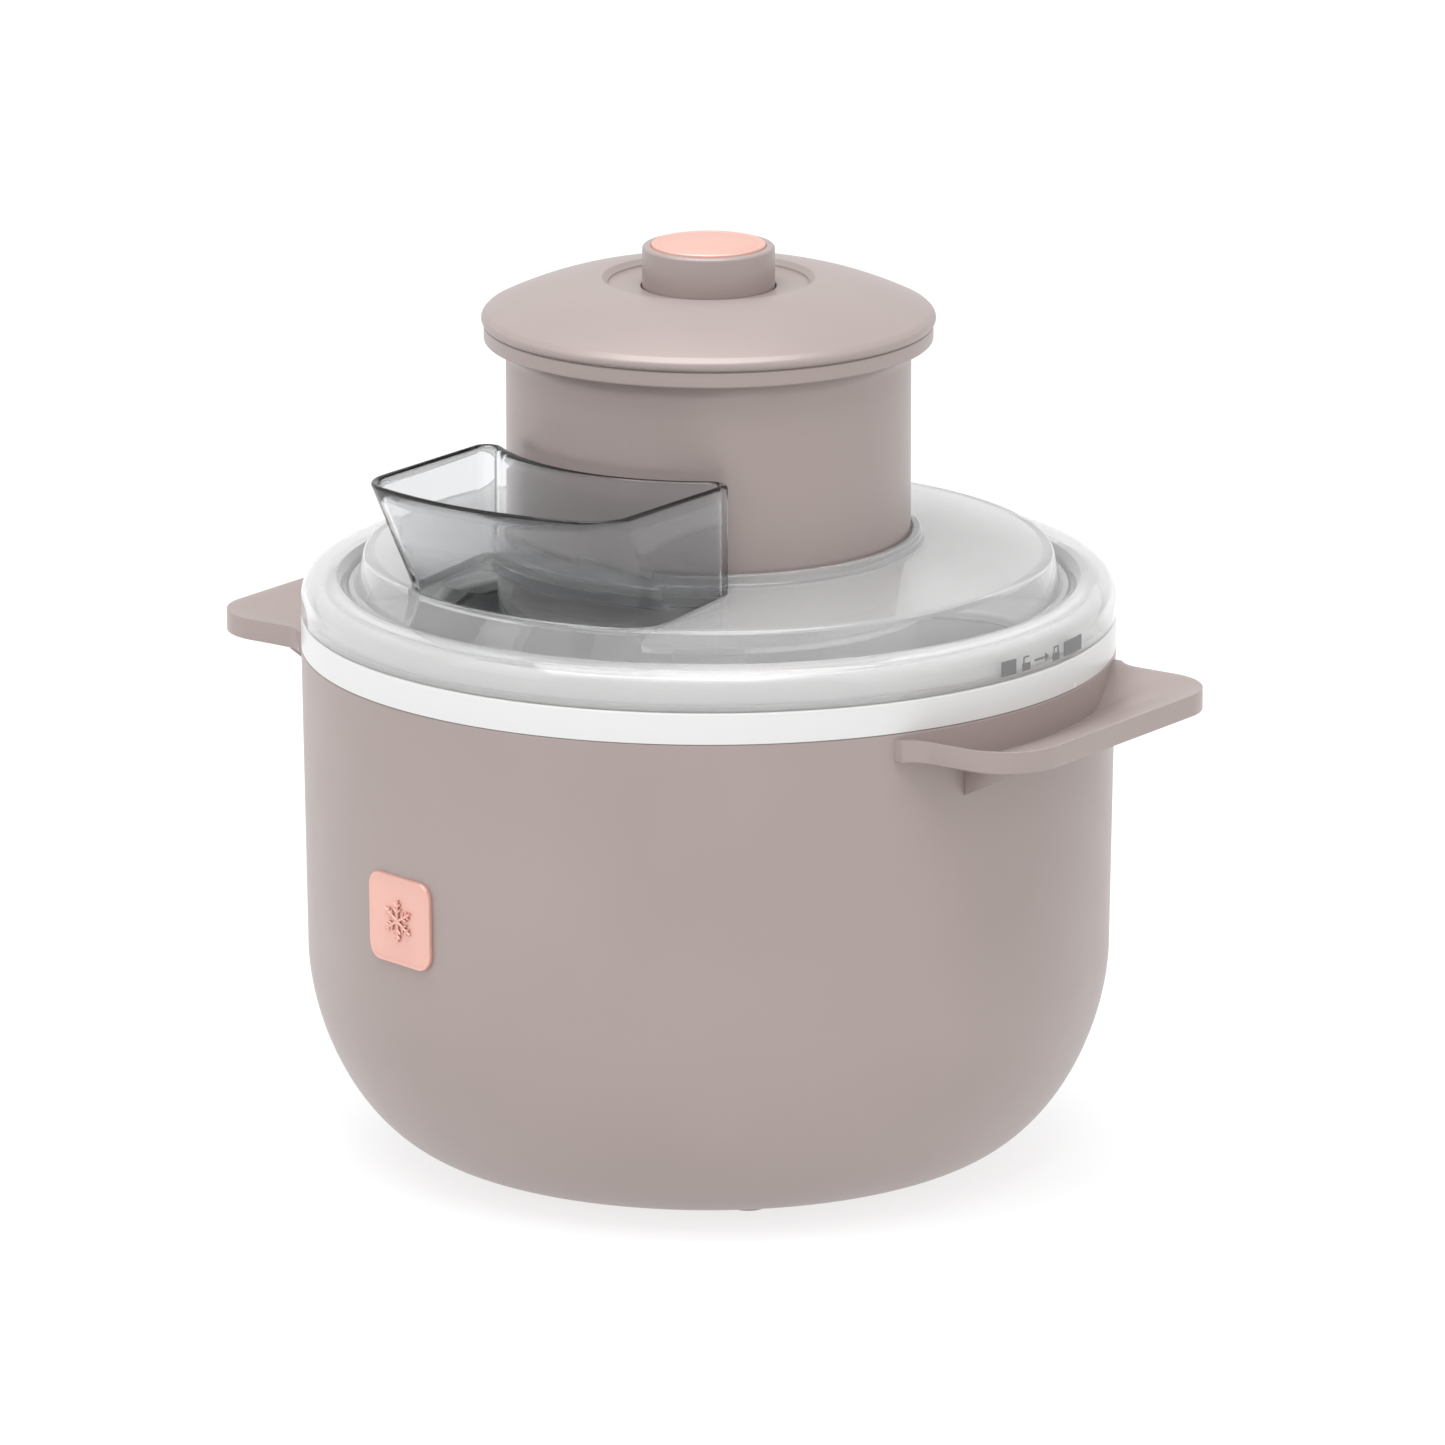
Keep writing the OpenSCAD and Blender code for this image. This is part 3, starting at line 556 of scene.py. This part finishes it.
def on_wall(u, v, depth):
    """A point of the housing's wall: u round it and v up it from the plaque's middle."""
    z = BADGE_Z + v
    r = wall_r(z) + depth
    a = BADGE_ANGLE + u / BODY_R
    return (r * math.cos(a), r * math.sin(a), z)


def plate_rings(outline_at, profile):
    """Rings of a domed plate, one per (inset, depth) of its edge profile."""
    return [[on_wall(u, v, depth) for u, v in outline_at(inset)] for inset, depth in profile]


def badge_outline(inset):
    w, h, r = BADGE_W / 2 - inset, BADGE_H / 2 - inset, 4 - inset
    r = max(r, 0.6)
    points = arc(w - r, h - r, r, 0, 90, 8) + arc(r - w, h - r, r, 90, 180, 8)
    points += arc(r - w, r - h, r, 180, 270, 8) + arc(w - r, r - h, r, 270, 360, 8)
    return points


def badge_plaque():
    edge = [(0, 0.05), (0, 0.9), (0.12, 1.12), (0.35, 1.2), (0.9, 1.2), (1.15, 1.05), (1.3, 1.0), (3.4, 1.0)]
    plate = loft("plate", plate_rings(badge_outline, edge))
    parts = [plate]
    for k in range(6):
        parts += snowflake_arm(k * 60)
    return join("badge_plate", parts)


def snowflake_arm(angle):
    """One ray of the snowflake, with two pairs of twigs."""
    swing = Matrix.Rotation(math.radians(angle), 2)
    bars = [((0, 0), (0, 5.2), 0.36)]
    for start, length in ((2.1, 1.5), (3.5, 1.2)):
        for side in (-1, 1):
            tip = (side * length * math.sin(math.radians(50)), start + length * math.cos(math.radians(50)))
            bars.append(((0, start), tip, 0.28))
    made = []
    for start, end, half in bars:
        a, b = swing @ Vector(start), swing @ Vector(end)
        along = (b - a).normalized()
        across = Vector((-along.y, along.x))
        rings = []
        for width, depth in ((half, 0.95), (half, 1.25), (half * 0.55, 1.42)):
            corners = [a - across * width, a + across * width, b + across * width, b - across * width]
            rings.append([on_wall(c.x, c.y, depth) for c in corners])
        made.append(loft("bar", rings))
    return made


# ---------------------------------------------------------------------------
# Freezer bowl
# ---------------------------------------------------------------------------


def bowl_rim():
    lip = RIM_Z + 1.4
    outline = [(BODY_R, RIM_Z + 0.02)]
    outline += arc(BODY_R - 0.6, LAND_Z - 0.6, 0.6, 0, 90, 4)
    outline += [(LAND_R + 2 * BEAD_R, LAND_Z)]
    outline += arc(LAND_R + BEAD_R, BEAD_Z, BEAD_R, 0, 180, 12)
    outline += arc(LAND_R - 1, RIM_Z + 4, 1, 0, -86, 4)
    outline += [(79, lip + 0.8)]
    outline += arc(78.2, lip - 0.4, 1.4, 80, 200, 8)
    outline += [(76.8, SEAT_Z), (BODY_R - 5.6, SEAT_Z), (BODY_R - 5.6, RIM_Z - 6)]
    outline += [(BODY_R - 3.1, RIM_Z - 6), (BODY_R - 3.1, RIM_Z + 0.02)]
    rim = lathe("bowl_rim_band", outline, 360)
    for start in (30, 150, 270):
        combine(rim, rim_pocket(start, start + 28), "DIFFERENCE")
    smooth(rim)
    return rim


def rim_pocket(start, end):
    """The cutter of one pocket for a lid lug."""
    inside, outside = LAND_R - 1, LAND_R + 2.2
    outline = arc(0, 0, inside, start, end, 28) + arc(0, 0, outside, end, start, 28)
    return prism("pocket", outline, LAND_Z - 4.5, LAND_Z + 9.5)


def tub(r_low, r_top, z_low, z_top, corner):
    """Half section of a tapered tub with a rounded bottom edge."""
    return [(0, z_low)] + arc(r_low - corner, z_low + corner, corner, -90, 0, 12) + [(r_top, z_top)]


def bowl_liner():
    liner_t, low_r, top_r = 1.2, 71.0, 77.0
    flange_z = RIM_Z - 3.2
    outer = tub(low_r + liner_t, top_r + liner_t, LINER_FLOOR - liner_t, flange_z, 13)
    inner = tub(low_r, top_r, LINER_FLOOR, flange_z + liner_t, 12)
    flange = [(top_r + 9, flange_z), (top_r + 9, flange_z + liner_t)]
    return lathe("spun_liner", outer + flange + inner[::-1])


def bowl_jacket():
    bottom, t = JACKET_BOTTOM, 2.2
    top_r, low_r = BODY_R - 9, BODY_R - 17
    outer = tub(low_r, top_r, bottom, SEAT_Z, 12)[1:]
    inner = tub(low_r - t, top_r - t, bottom + t, SEAT_Z, 10)[1:]
    hole = [(8, bottom + t), (8, bottom)]
    return lathe("bowl_jacket_shell", outer + inner[::-1] + hole)


def filler_plug():
    face, end = JACKET_BOTTOM - 1.8, JACKET_BOTTOM + 2.1
    outline = [(0, face), *arc(9.9, face + 0.6, 0.6, -90, 0, 4), (10.5, JACKET_BOTTOM)]
    outline += [(7.95, JACKET_BOTTOM), (7.95, end), (0, end)]
    return lathe("filler_cap", outline, 96)


def lid_gasket():
    inside = LAND_R + 3.4
    corners = [
        (inside, LAND_Z + 0.01, 0.1), (BODY_R - 0.5, LAND_Z + 0.01, 0.1), (BODY_R - 0.5, LID_Z - 0.01, 0.1),
        (BODY_R - 2.5, LID_Z - 0.01, 0.1), (BODY_R - 2.5, LAND_Z + 1.5, 0.5), (inside, LAND_Z + 1.5, 0.5),
    ]
    return lathe("silicone_ring", rounded(corners, 3), 256)


# ---------------------------------------------------------------------------
# Clear lid and chute
# ---------------------------------------------------------------------------

RING_OUT = LAND_R - 0.8
RING_IN = RING_OUT - 2
RING_Z = RIM_Z + 3.9
CHUTE_W = 37.5
CHUTE_IN_R = COLLAR_R + 0.7
CHUTE_LOW_R = 84.0
CHUTE_HIGH_R = BODY_R - 0.5


def lid_outline():
    top = SHOULDER_Z + PLATEAU_RISE
    outline = arc(BODY_R - 0.5, LID_Z + 0.5, 0.5, -80, 0, 3)
    outline += arc(BODY_R - ROLL_R, ROLL_Z, ROLL_R, 0, 158, 28)
    outline += arc(87.4, VALLEY_Z + 1.1, 1.1, -40, -160, 6)
    outline += arc(82.6, SHOULDER_Z - 2.2, 2.2, 18, 85, 8)
    outline += arc(COLLAR_R + 1.5, top + 1.5, 1.5, -90, -180, 6)
    outline += arc(COLLAR_R - 0.6, COLLAR_Z - 0.6, 0.6, 0, 90, 4)
    outline += arc(WELL_R + 0.5, COLLAR_Z - 0.5, 0.5, 90, 180, 4)
    outline += [(WELL_R, FLOOR_TOP - 0.02), (HUB_HOLE_R, FLOOR_TOP - 0.02), (HUB_HOLE_R, FLOOR_TOP - LID_T)]
    outline += arc(WELL_R + 0.3, FLOOR_TOP - LID_T + 1.5, 1.5, -90, 0, 6)
    outline += [(WELL_R + 1.8, top - LID_T), (81.6, SHOULDER_Z - LID_T - 0.2)]
    outline += [(85.4, VALLEY_Z - LID_T + 0.3), (RING_IN, VALLEY_Z - LID_T + 0.3)]
    outline += arc(RING_IN + 0.4, RING_Z + 0.4, 0.4, 180, 270, 3)
    outline += arc(RING_OUT - 0.4, RING_Z + 0.4, 0.4, 270, 360, 3)
    outline += [(RING_OUT, ROLL_Z + 1)]
    outline += arc(BODY_R - ROLL_R, ROLL_Z, ROLL_R - LID_T, 120, 0, 16)
    outline += [(BODY_R - LID_T, LID_Z)]
    return outline


def chute_outline(outer_r, inset):
    """Outline of the chute seen from above, towards -Y, moved inwards by inset."""
    corner_o = 12 - inset
    corner_i = 4 - inset * 0.7
    w = CHUTE_W - inset
    ri = CHUTE_IN_R + inset
    b_o = math.degrees(math.asin((w - corner_o) / (outer_r - inset - corner_o)))
    x_o = (outer_r - inset - corner_o) * math.cos(math.radians(b_o))
    b_i = math.degrees(math.asin((w - corner_i) / (ri + corner_i)))
    x_i = (ri + corner_i) * math.cos(math.radians(b_i))
    points = arc(0, 0, outer_r - inset, -b_o, b_o, 24)
    points += arc(x_o, w - corner_o, corner_o, b_o, 90, 14)[1:]
    points += arc(x_i, w - corner_i, corner_i, 90, 180 + b_i, 14)
    points += arc(0, 0, ri, b_i, -b_i, 24)[1:-1]
    points += arc(x_i, corner_i - w, corner_i, 180 - b_i, 270, 14)
    points += arc(x_o, corner_o - w, corner_o, -90, -b_o, 14)[:-1]
    return [(y, -x) for x, y in points]


def chute_radius(z):
    """Outer radius of the chute at height z."""
    bend = SHOULDER_Z + 1
    climb = max(0.0, (z - bend) / (CHUTE_TOP - bend))
    return CHUTE_LOW_R + (CHUTE_HIGH_R - CHUTE_LOW_R) * climb


def chute_ring(z, inset, height):
    return [(x, y, height) for x, y in chute_outline(chute_radius(z), inset)]


def chute_shell():
    foot = SHOULDER_Z - LID_T
    bend = SHOULDER_Z + 1
    edge = LID_T / 2
    heights = [bend + (CHUTE_TOP - edge - bend) * i / 8 for i in range(9)]
    rings = [chute_ring(foot, -0.05, foot)]
    rings += [chute_ring(z, 0, z) for z in heights]
    for k in range(1, 8):
        a = math.pi * k / 8
        z = CHUTE_TOP - edge + edge * math.sin(a)
        rings.append(chute_ring(z, edge - edge * math.cos(a), z))
    rings += [chute_ring(z, LID_T, z) for z in heights[::-1]]
    rings += [chute_ring(foot, LID_T, foot)]
    return loft("chute_shell", rings, closed_ends=False)


def clear_lid():
    lid = lathe("clear_lid", lid_outline(), 360, 30)
    combine(lid, prism("hole", chute_outline(CHUTE_LOW_R, 0.6), VALLEY_Z + 2, SHOULDER_Z + 20), "DIFFERENCE")
    for start in (32, 152, 272):
        combine(lid, lid_lug(start, start + 12), "UNION")
    for start, end in ((-91.5, -66), (-117, -91.5)):
        combine(lid, collar_ramp(start, end), "UNION")
    smooth(lid, 30)
    return lid


def collar_ramp(start, end):
    """One sloping tooth on the top of the collar, falling from start to end."""
    steps, rise = 12, 2.6
    inner, outer = WELL_R + 0.05, COLLAR_R - 0.05
    rings = []
    for i in range(steps + 1):
        a = math.radians(start + (end - start) * i / steps)
        top = COLLAR_Z + rise * (1 - i / steps) + 0.05
        c, d = math.cos(a), math.sin(a)
        rings.append([
            (inner * c, inner * d, COLLAR_Z - 1), (outer * c, outer * d, COLLAR_Z - 1),
            (outer * c, outer * d, top), (inner * c, inner * d, top),
        ])
    return loft("ramp", rings)


def lid_lug(start, end):
    """One bayonet lug on the lid's inner ring."""
    inside, outside = RING_OUT - 0.5, RING_OUT + 1.6
    outline = arc(0, 0, inside, start, end, 12) + arc(0, 0, outside, end, start, 12)
    return prism("lug", outline, RING_Z + 0.1, RING_Z + 2.4)


def on_skirt(turn, z, lift):
    """A point of the lid's skirt or rolled edge, turn degrees round the lid and at height z."""
    over = max(z - ROLL_Z, 0)
    r = BODY_R - ROLL_R + math.sqrt(ROLL_R ** 2 - over ** 2) + lift
    a = math.radians(turn)
    return (r * math.cos(a), r * math.sin(a), z)


def printed(outline):
    """A thin printed mark on the skirt: a convex outline in millimetres round it and up it."""
    per_mm = 180 / (math.pi * BODY_R)
    rings = [[on_skirt(u * per_mm, z, lift) for u, z in outline] for lift in (0.02, 0.1)]
    return loft("print", rings)


def bar(x0, x1, z0, z1):
    """A printed strip, in short lengths so that it follows the skirt's curve."""
    steps = max(1, round((x1 - x0) / 1.5))
    cuts = [x0 + (x1 - x0) * i / steps for i in range(steps + 1)]
    rows = [z0, z1] if z1 <= ROLL_Z or z0 >= ROLL_Z else [z0, ROLL_Z, z1]
    return [
        printed([(a, low_z), (b, low_z), (b, top_z), (a, top_z)])
        for a, b in zip(cuts, cuts[1:]) for low_z, top_z in zip(rows, rows[1:])
    ]


def padlock(x, z, opened):
    """A small padlock pictogram, its shackle open or closed."""
    marks = bar(x - 1.5, x + 1.5, z, z + 1.9)
    marks += bar(x - 1.1, x - 0.7, z + 1.9, z + 3.2)
    marks += bar(x - 1.1, x + 1.1, z + 3.2, z + 3.6)
    if not opened:
        marks += bar(x + 0.7, x + 1.1, z + 1.9, z + 3.2)
    return marks


def lock_marks():
    """Two grey bars with an open and a closed padlock and an arrow between them."""
    z = LID_Z + 1.1
    marks = bar(-17.2, -12.0, z, z + 3.7) + bar(8.0, 17.2, z, z + 3.7)
    marks += padlock(-8.2, z, True) + padlock(4.2, z, False)
    marks += bar(-5.0, -0.6, z + 1.6, z + 2.1)
    marks.append(printed([(-0.6, z + 0.8), (1.0, z + 1.85), (-0.6, z + 2.9)]))
    return join("lock_marks", marks)


# ---------------------------------------------------------------------------
# Motor unit
# ---------------------------------------------------------------------------


def motor_tube():
    """The tube with its flared mouth, screw bosses and bracket pads."""
    base_top = FLOOR_TOP + 4.2
    tube_r = MOTOR_R - 2.2
    outline = [(tube_r, base_top), (MOTOR_R - 0.3, base_top), (MOTOR_R, base_top + 0.3), (MOTOR_R, FLARE_Z)]
    outline += arc(MOTOR_R + 4.5, FLARE_Z, 4.5, 180, 95, 14)[1:]
    outline += arc(CAP_R - 1.2, FLARE_Z + 5.3, 0.6, -70, 0, 4)
    outline += [(CAP_R - 0.6, PART_Z - 0.3), (CAP_R - 0.9, PART_Z), (CAP_R - 4.2, PART_Z)]
    outline += [(CAP_R - 4.2, FLARE_Z + 6.6), (tube_r + 0.5, FLARE_Z + 2), (tube_r, FLARE_Z + 0.5)]
    tube = lathe("motor_tube", outline, 256)
    bore = lathe("bore", [(0, 0), (4.6, 0), (4.6, 12), (0, 12)], 64)
    bore.data.transform(Matrix.Rotation(-math.pi / 2, 4, "X"))
    bore.data.transform(Matrix.Translation((0, (tube_r - 5) * MM, INLET_Z * MM)))
    combine(tube, bore, "DIFFERENCE")
    parts = [tube]
    boss_top = base_top + 14
    boss_outline = [(1.3, base_top), (4.2, base_top), (4.2, boss_top), (1.3, boss_top)]
    for angle in BOSS_ANGLES:
        boss = lathe("boss", boss_outline, 32)
        boss.data.transform(Matrix.Translation((BOSS_AT * MM, 0, 0)))
        boss.data.transform(Matrix.Rotation(math.radians(angle), 4, "Z"))
        parts.append(boss)
    for turn in (0, 180):
        shelf = [(40, -7), (tube_r + 0.4, -7), (tube_r + 0.9, 0), (tube_r + 0.4, 7), (40, 7)]
        pad = prism("bracket_pad", shelf, RIM_Z + 60, RIM_Z + 68)
        bevel(pad, 0.3, 2)
        pad.data.transform(Matrix.Rotation(math.radians(turn), 4, "Z"))
        parts.append(pad)
    return join("motor_tube", parts)


def dome_z(r):
    """Height of the cap's outer face at radius r."""
    return DISH_EDGE_Z - DOME_FALL * max(r - DISH_R, 0) ** DOME_POWER


def cap_dome():
    """The domed cap with the dish round the button and the clips under its brim."""
    sleeve = BUTTON_R + 0.3
    dish_z = DISH_EDGE_Z - 2
    outline = [(CAP_R - 3.6, PART_Z + 0.02), (CAP_R - 1, PART_Z + 0.02)]
    outline += arc(CAP_R - 1.6, PART_Z + 1.4, 1.6, -50, 62, 10)
    for i in range(33):
        r = CAP_R - 1.05 + (DISH_R + 0.8 - CAP_R + 1.05) * i / 32
        outline.append((r, dome_z(r)))
    outline += arc(DISH_R + 0.2, DISH_EDGE_Z - 0.5, 0.5, 85, 150, 4)
    outline += arc(DISH_R - 2.2, dish_z + 0.8, 0.8, 0, -90, 5)
    outline += arc(sleeve + 0.4, dish_z - 0.4, 0.4, 90, 180, 4)
    outline += [(sleeve, dish_z - 5.5), (sleeve + 2, dish_z - 5.5), (sleeve + 2, dish_z - CAP_T)]
    outline += [(DISH_R + 1, dish_z - CAP_T)]
    for i in range(9):
        r = DISH_R + 4 + (CAP_R - 7.6 - DISH_R) * i / 8
        outline.append((r, dome_z(r) - CAP_T))
    parts = [lathe("cap_dome", outline, 256)]
    for angle in range(30, 360, 60):
        clip = [(CAP_R - 8.2, -3.5), (CAP_R - 6.7, -3.5), (CAP_R - 6.7, 3.5), (CAP_R - 8.2, 3.5)]
        tab = prism("clip", clip, PART_Z - 3, PART_Z + 4.6)
        bevel(tab, 0.25, 2)
        tab.data.transform(Matrix.Rotation(math.radians(angle), 4, "Z"))
        parts.append(tab)
    return join("cap_dome", parts)


def button_cap():
    foot = DISH_EDGE_Z - 2 - 5.5 - 2
    recess_r = DISC_R + 0.05
    outline = [(BUTTON_R - 2, foot), (BUTTON_R + 1.6, foot), (BUTTON_R + 1.6, foot + 2), (BUTTON_R, foot + 2)]
    outline += arc(BUTTON_R - 0.8, BUTTON_TOP - 0.8, 0.8, 0, 90, 6)
    outline += arc(recess_r + 0.25, BUTTON_TOP - 0.25, 0.25, 90, 180, 3)
    outline += [(recess_r, BUTTON_TOP - 1), (0, BUTTON_TOP - 1), (0, BUTTON_TOP - 3.4)]
    outline += [(BUTTON_R - 2, BUTTON_TOP - 3.4)]
    return lathe("button_cap", outline, 160)


def button_inlay():
    top = high("button_disc").z
    base = BUTTON_TOP - 1
    groove_r = DISC_R - 1.8
    outline = [(0, base + 0.02), (DISC_R, base + 0.02)]
    outline += arc(DISC_R - 0.5, top - 0.5, 0.5, 0, 90, 5)
    outline += [(groove_r + 0.2, top), (groove_r, top - 0.15), (groove_r - 0.2, top), (0, top)]
    return lathe("button_inlay", outline, 160)


def grommet():
    """Rubber cord inlet, turned about the Y axis and shaped to the tube."""
    y0 = 43.5
    corners = [
        (3.3, 0, 0.3), (6, 0, 0.6), (6, 3, 0.2), (4.55, 3, 0), (4.55, 5.8, 0), (7, 5.2, 0),
        (7, 8.9, 1.2), (5.4, 8.9, 0.5), (4.2, 7.9, 0.4), (3.3, 7.9, 0.4),
    ]
    made = lathe("cord_inlet_grommet", rounded(corners, 4), 64)
    made.data.transform(Matrix.Rotation(-math.pi / 2, 4, "X"))
    made.data.transform(Matrix.Translation((0, y0 * MM, INLET_Z * MM)))
    return made


# ---------------------------------------------------------------------------
# Stage, lights and camera
# ---------------------------------------------------------------------------


def stage_material(name, colour):
    made = new_material(name, colour, Roughness=0.9, Emission_Color=(1, 1, 1, 1), Emission_Strength=0.74)
    vary_colour(made, noise(made, 3), shade(colour, 0.995), colour)
    return made


def floor():
    """A pale, level studio floor."""
    side, cells = 7000, 8
    verts, faces = [], []
    for i in range(cells + 1):
        for j in range(cells + 1):
            verts.append((side * (2 * i / cells - 1), side * (2 * j / cells - 1), 0))
    for i in range(cells):
        for j in range(cells):
            k = i * (cells + 1) + j
            faces.append([k, k + cells + 1, k + cells + 2, k + 1])
    obj = make_object("studio_floor", verts, faces)
    obj.data.materials.append(stage_material("studio_paper", (0.27, 0.27, 0.27, 1)))


CAMERA_AZIMUTH = 35.5
CAMERA_ELEVATION = 14.8
CAMERA_DISTANCE = 3.0
LENS = 303.8
AIM_Z = 0.1066
AIM_RIGHT = 0.0034


def camera():
    data = bpy.data.cameras.new("camera")
    data.lens = LENS
    data.sensor_width = 36
    data.clip_end = 50
    obj = bpy.data.objects.new("camera", data)
    bpy.context.collection.objects.link(obj)
    a, e = math.radians(CAMERA_AZIMUTH), math.radians(CAMERA_ELEVATION)
    back = Vector((math.sin(a) * math.cos(e), -math.cos(a) * math.cos(e), math.sin(e)))
    right = Vector((math.cos(a), math.sin(a), 0))
    aim = right * AIM_RIGHT + Vector((0, 0, AIM_Z))
    obj.location = aim + back * CAMERA_DISTANCE
    obj.rotation_euler = back.to_track_quat("Z", "Y").to_euler()
    bpy.context.scene.camera = obj


def softbox(name, azimuth, elevation, distance, width, height, power):
    data = bpy.data.lights.new(name, "AREA")
    data.shape = "RECTANGLE"
    data.size, data.size_y = width, height
    data.energy = power
    obj = bpy.data.objects.new(name, data)
    bpy.context.collection.objects.link(obj)
    a, e = math.radians(azimuth + CAMERA_AZIMUTH), math.radians(elevation)
    back = Vector((math.sin(a) * math.cos(e), -math.cos(a) * math.cos(e), math.sin(e)))
    obj.location = back * distance + Vector((0, 0, 0.1))
    obj.rotation_euler = back.to_track_quat("Z", "Y").to_euler()


def lights():
    softbox("key_left", -62, 35, 1.8, 1.0, 1.4, 3)
    softbox("fill_right", 55, 25, 1.8, 1.0, 1.4, 2)
    softbox("top", -20, 78, 1.6, 1.5, 1.5, 26)
    world = bpy.data.worlds.new("studio")
    bpy.context.scene.world = world
    world.use_nodes = True
    world.node_tree.nodes["Background"].inputs["Color"].default_value = (1, 1, 1, 1)
    world.node_tree.nodes["Background"].inputs["Strength"].default_value = 0.85


# ---------------------------------------------------------------------------
# Putting it together
# ---------------------------------------------------------------------------


def dress_frame():
    """Every CAD node that stays in view gets its slot's material."""
    for row in frame["record"]["subparts"]:
        obj = frame["nodes"][row["node"]]
        obj.data.materials.clear()
        obj.data.materials.append(materials[row["material_slot"]])


def build():
    finish_piece(housing_body(), "housing", "taupe_plastic", ["outer_housing"])
    finish_piece(wing_handle("wing_handle_right", 0), "housing", "taupe_plastic")
    finish_piece(wing_handle("wing_handle_left", math.pi), "housing", "taupe_plastic")
    finish_piece(base_feet(), "housing", "foot_pad", ["base_feet"])
    finish_piece(badge_plaque(), "housing", "rose_gold", ["badge_plaque"])
    finish_piece(bowl_rim(), "bowl", "white_plastic", ["bowl_rim"])
    finish_piece(bowl_liner(), "bowl", "liner_aluminium", ["bowl_liner"])
    finish_piece(bowl_jacket(), "bowl", "jacket_plastic", ["bowl_jacket"])
    finish_piece(filler_plug(), "bowl", "white_plastic", ["filler_plug"])
    finish_piece(lid_gasket(), "gasket", "silicone", ["lid_gasket"])
    finish_piece(clear_lid(), "lid", "clear_plastic", ["lid_dome"])
    finish_piece(chute_shell(), "lid", "clear_plastic", ["filling_chute"], "chute_plastic")
    finish_piece(lock_marks(), "lid", "mark_print")
    finish_piece(motor_tube(), "motor_unit", "taupe_plastic", ["motor_housing"])
    finish_piece(cap_dome(), "motor_unit", "taupe_plastic", ["motor_cap"])
    finish_piece(grommet(), "motor_unit", "black_plastic", ["cord_grommet"])
    finish_piece(button_cap(), "button", "taupe_plastic", ["power_button"])
    finish_piece(button_inlay(), "button", "rose_gold", ["button_disc"])


bpy.context.scene.view_settings.view_transform = "Standard"
camera()
lights()
floor()
dress_frame()
build()
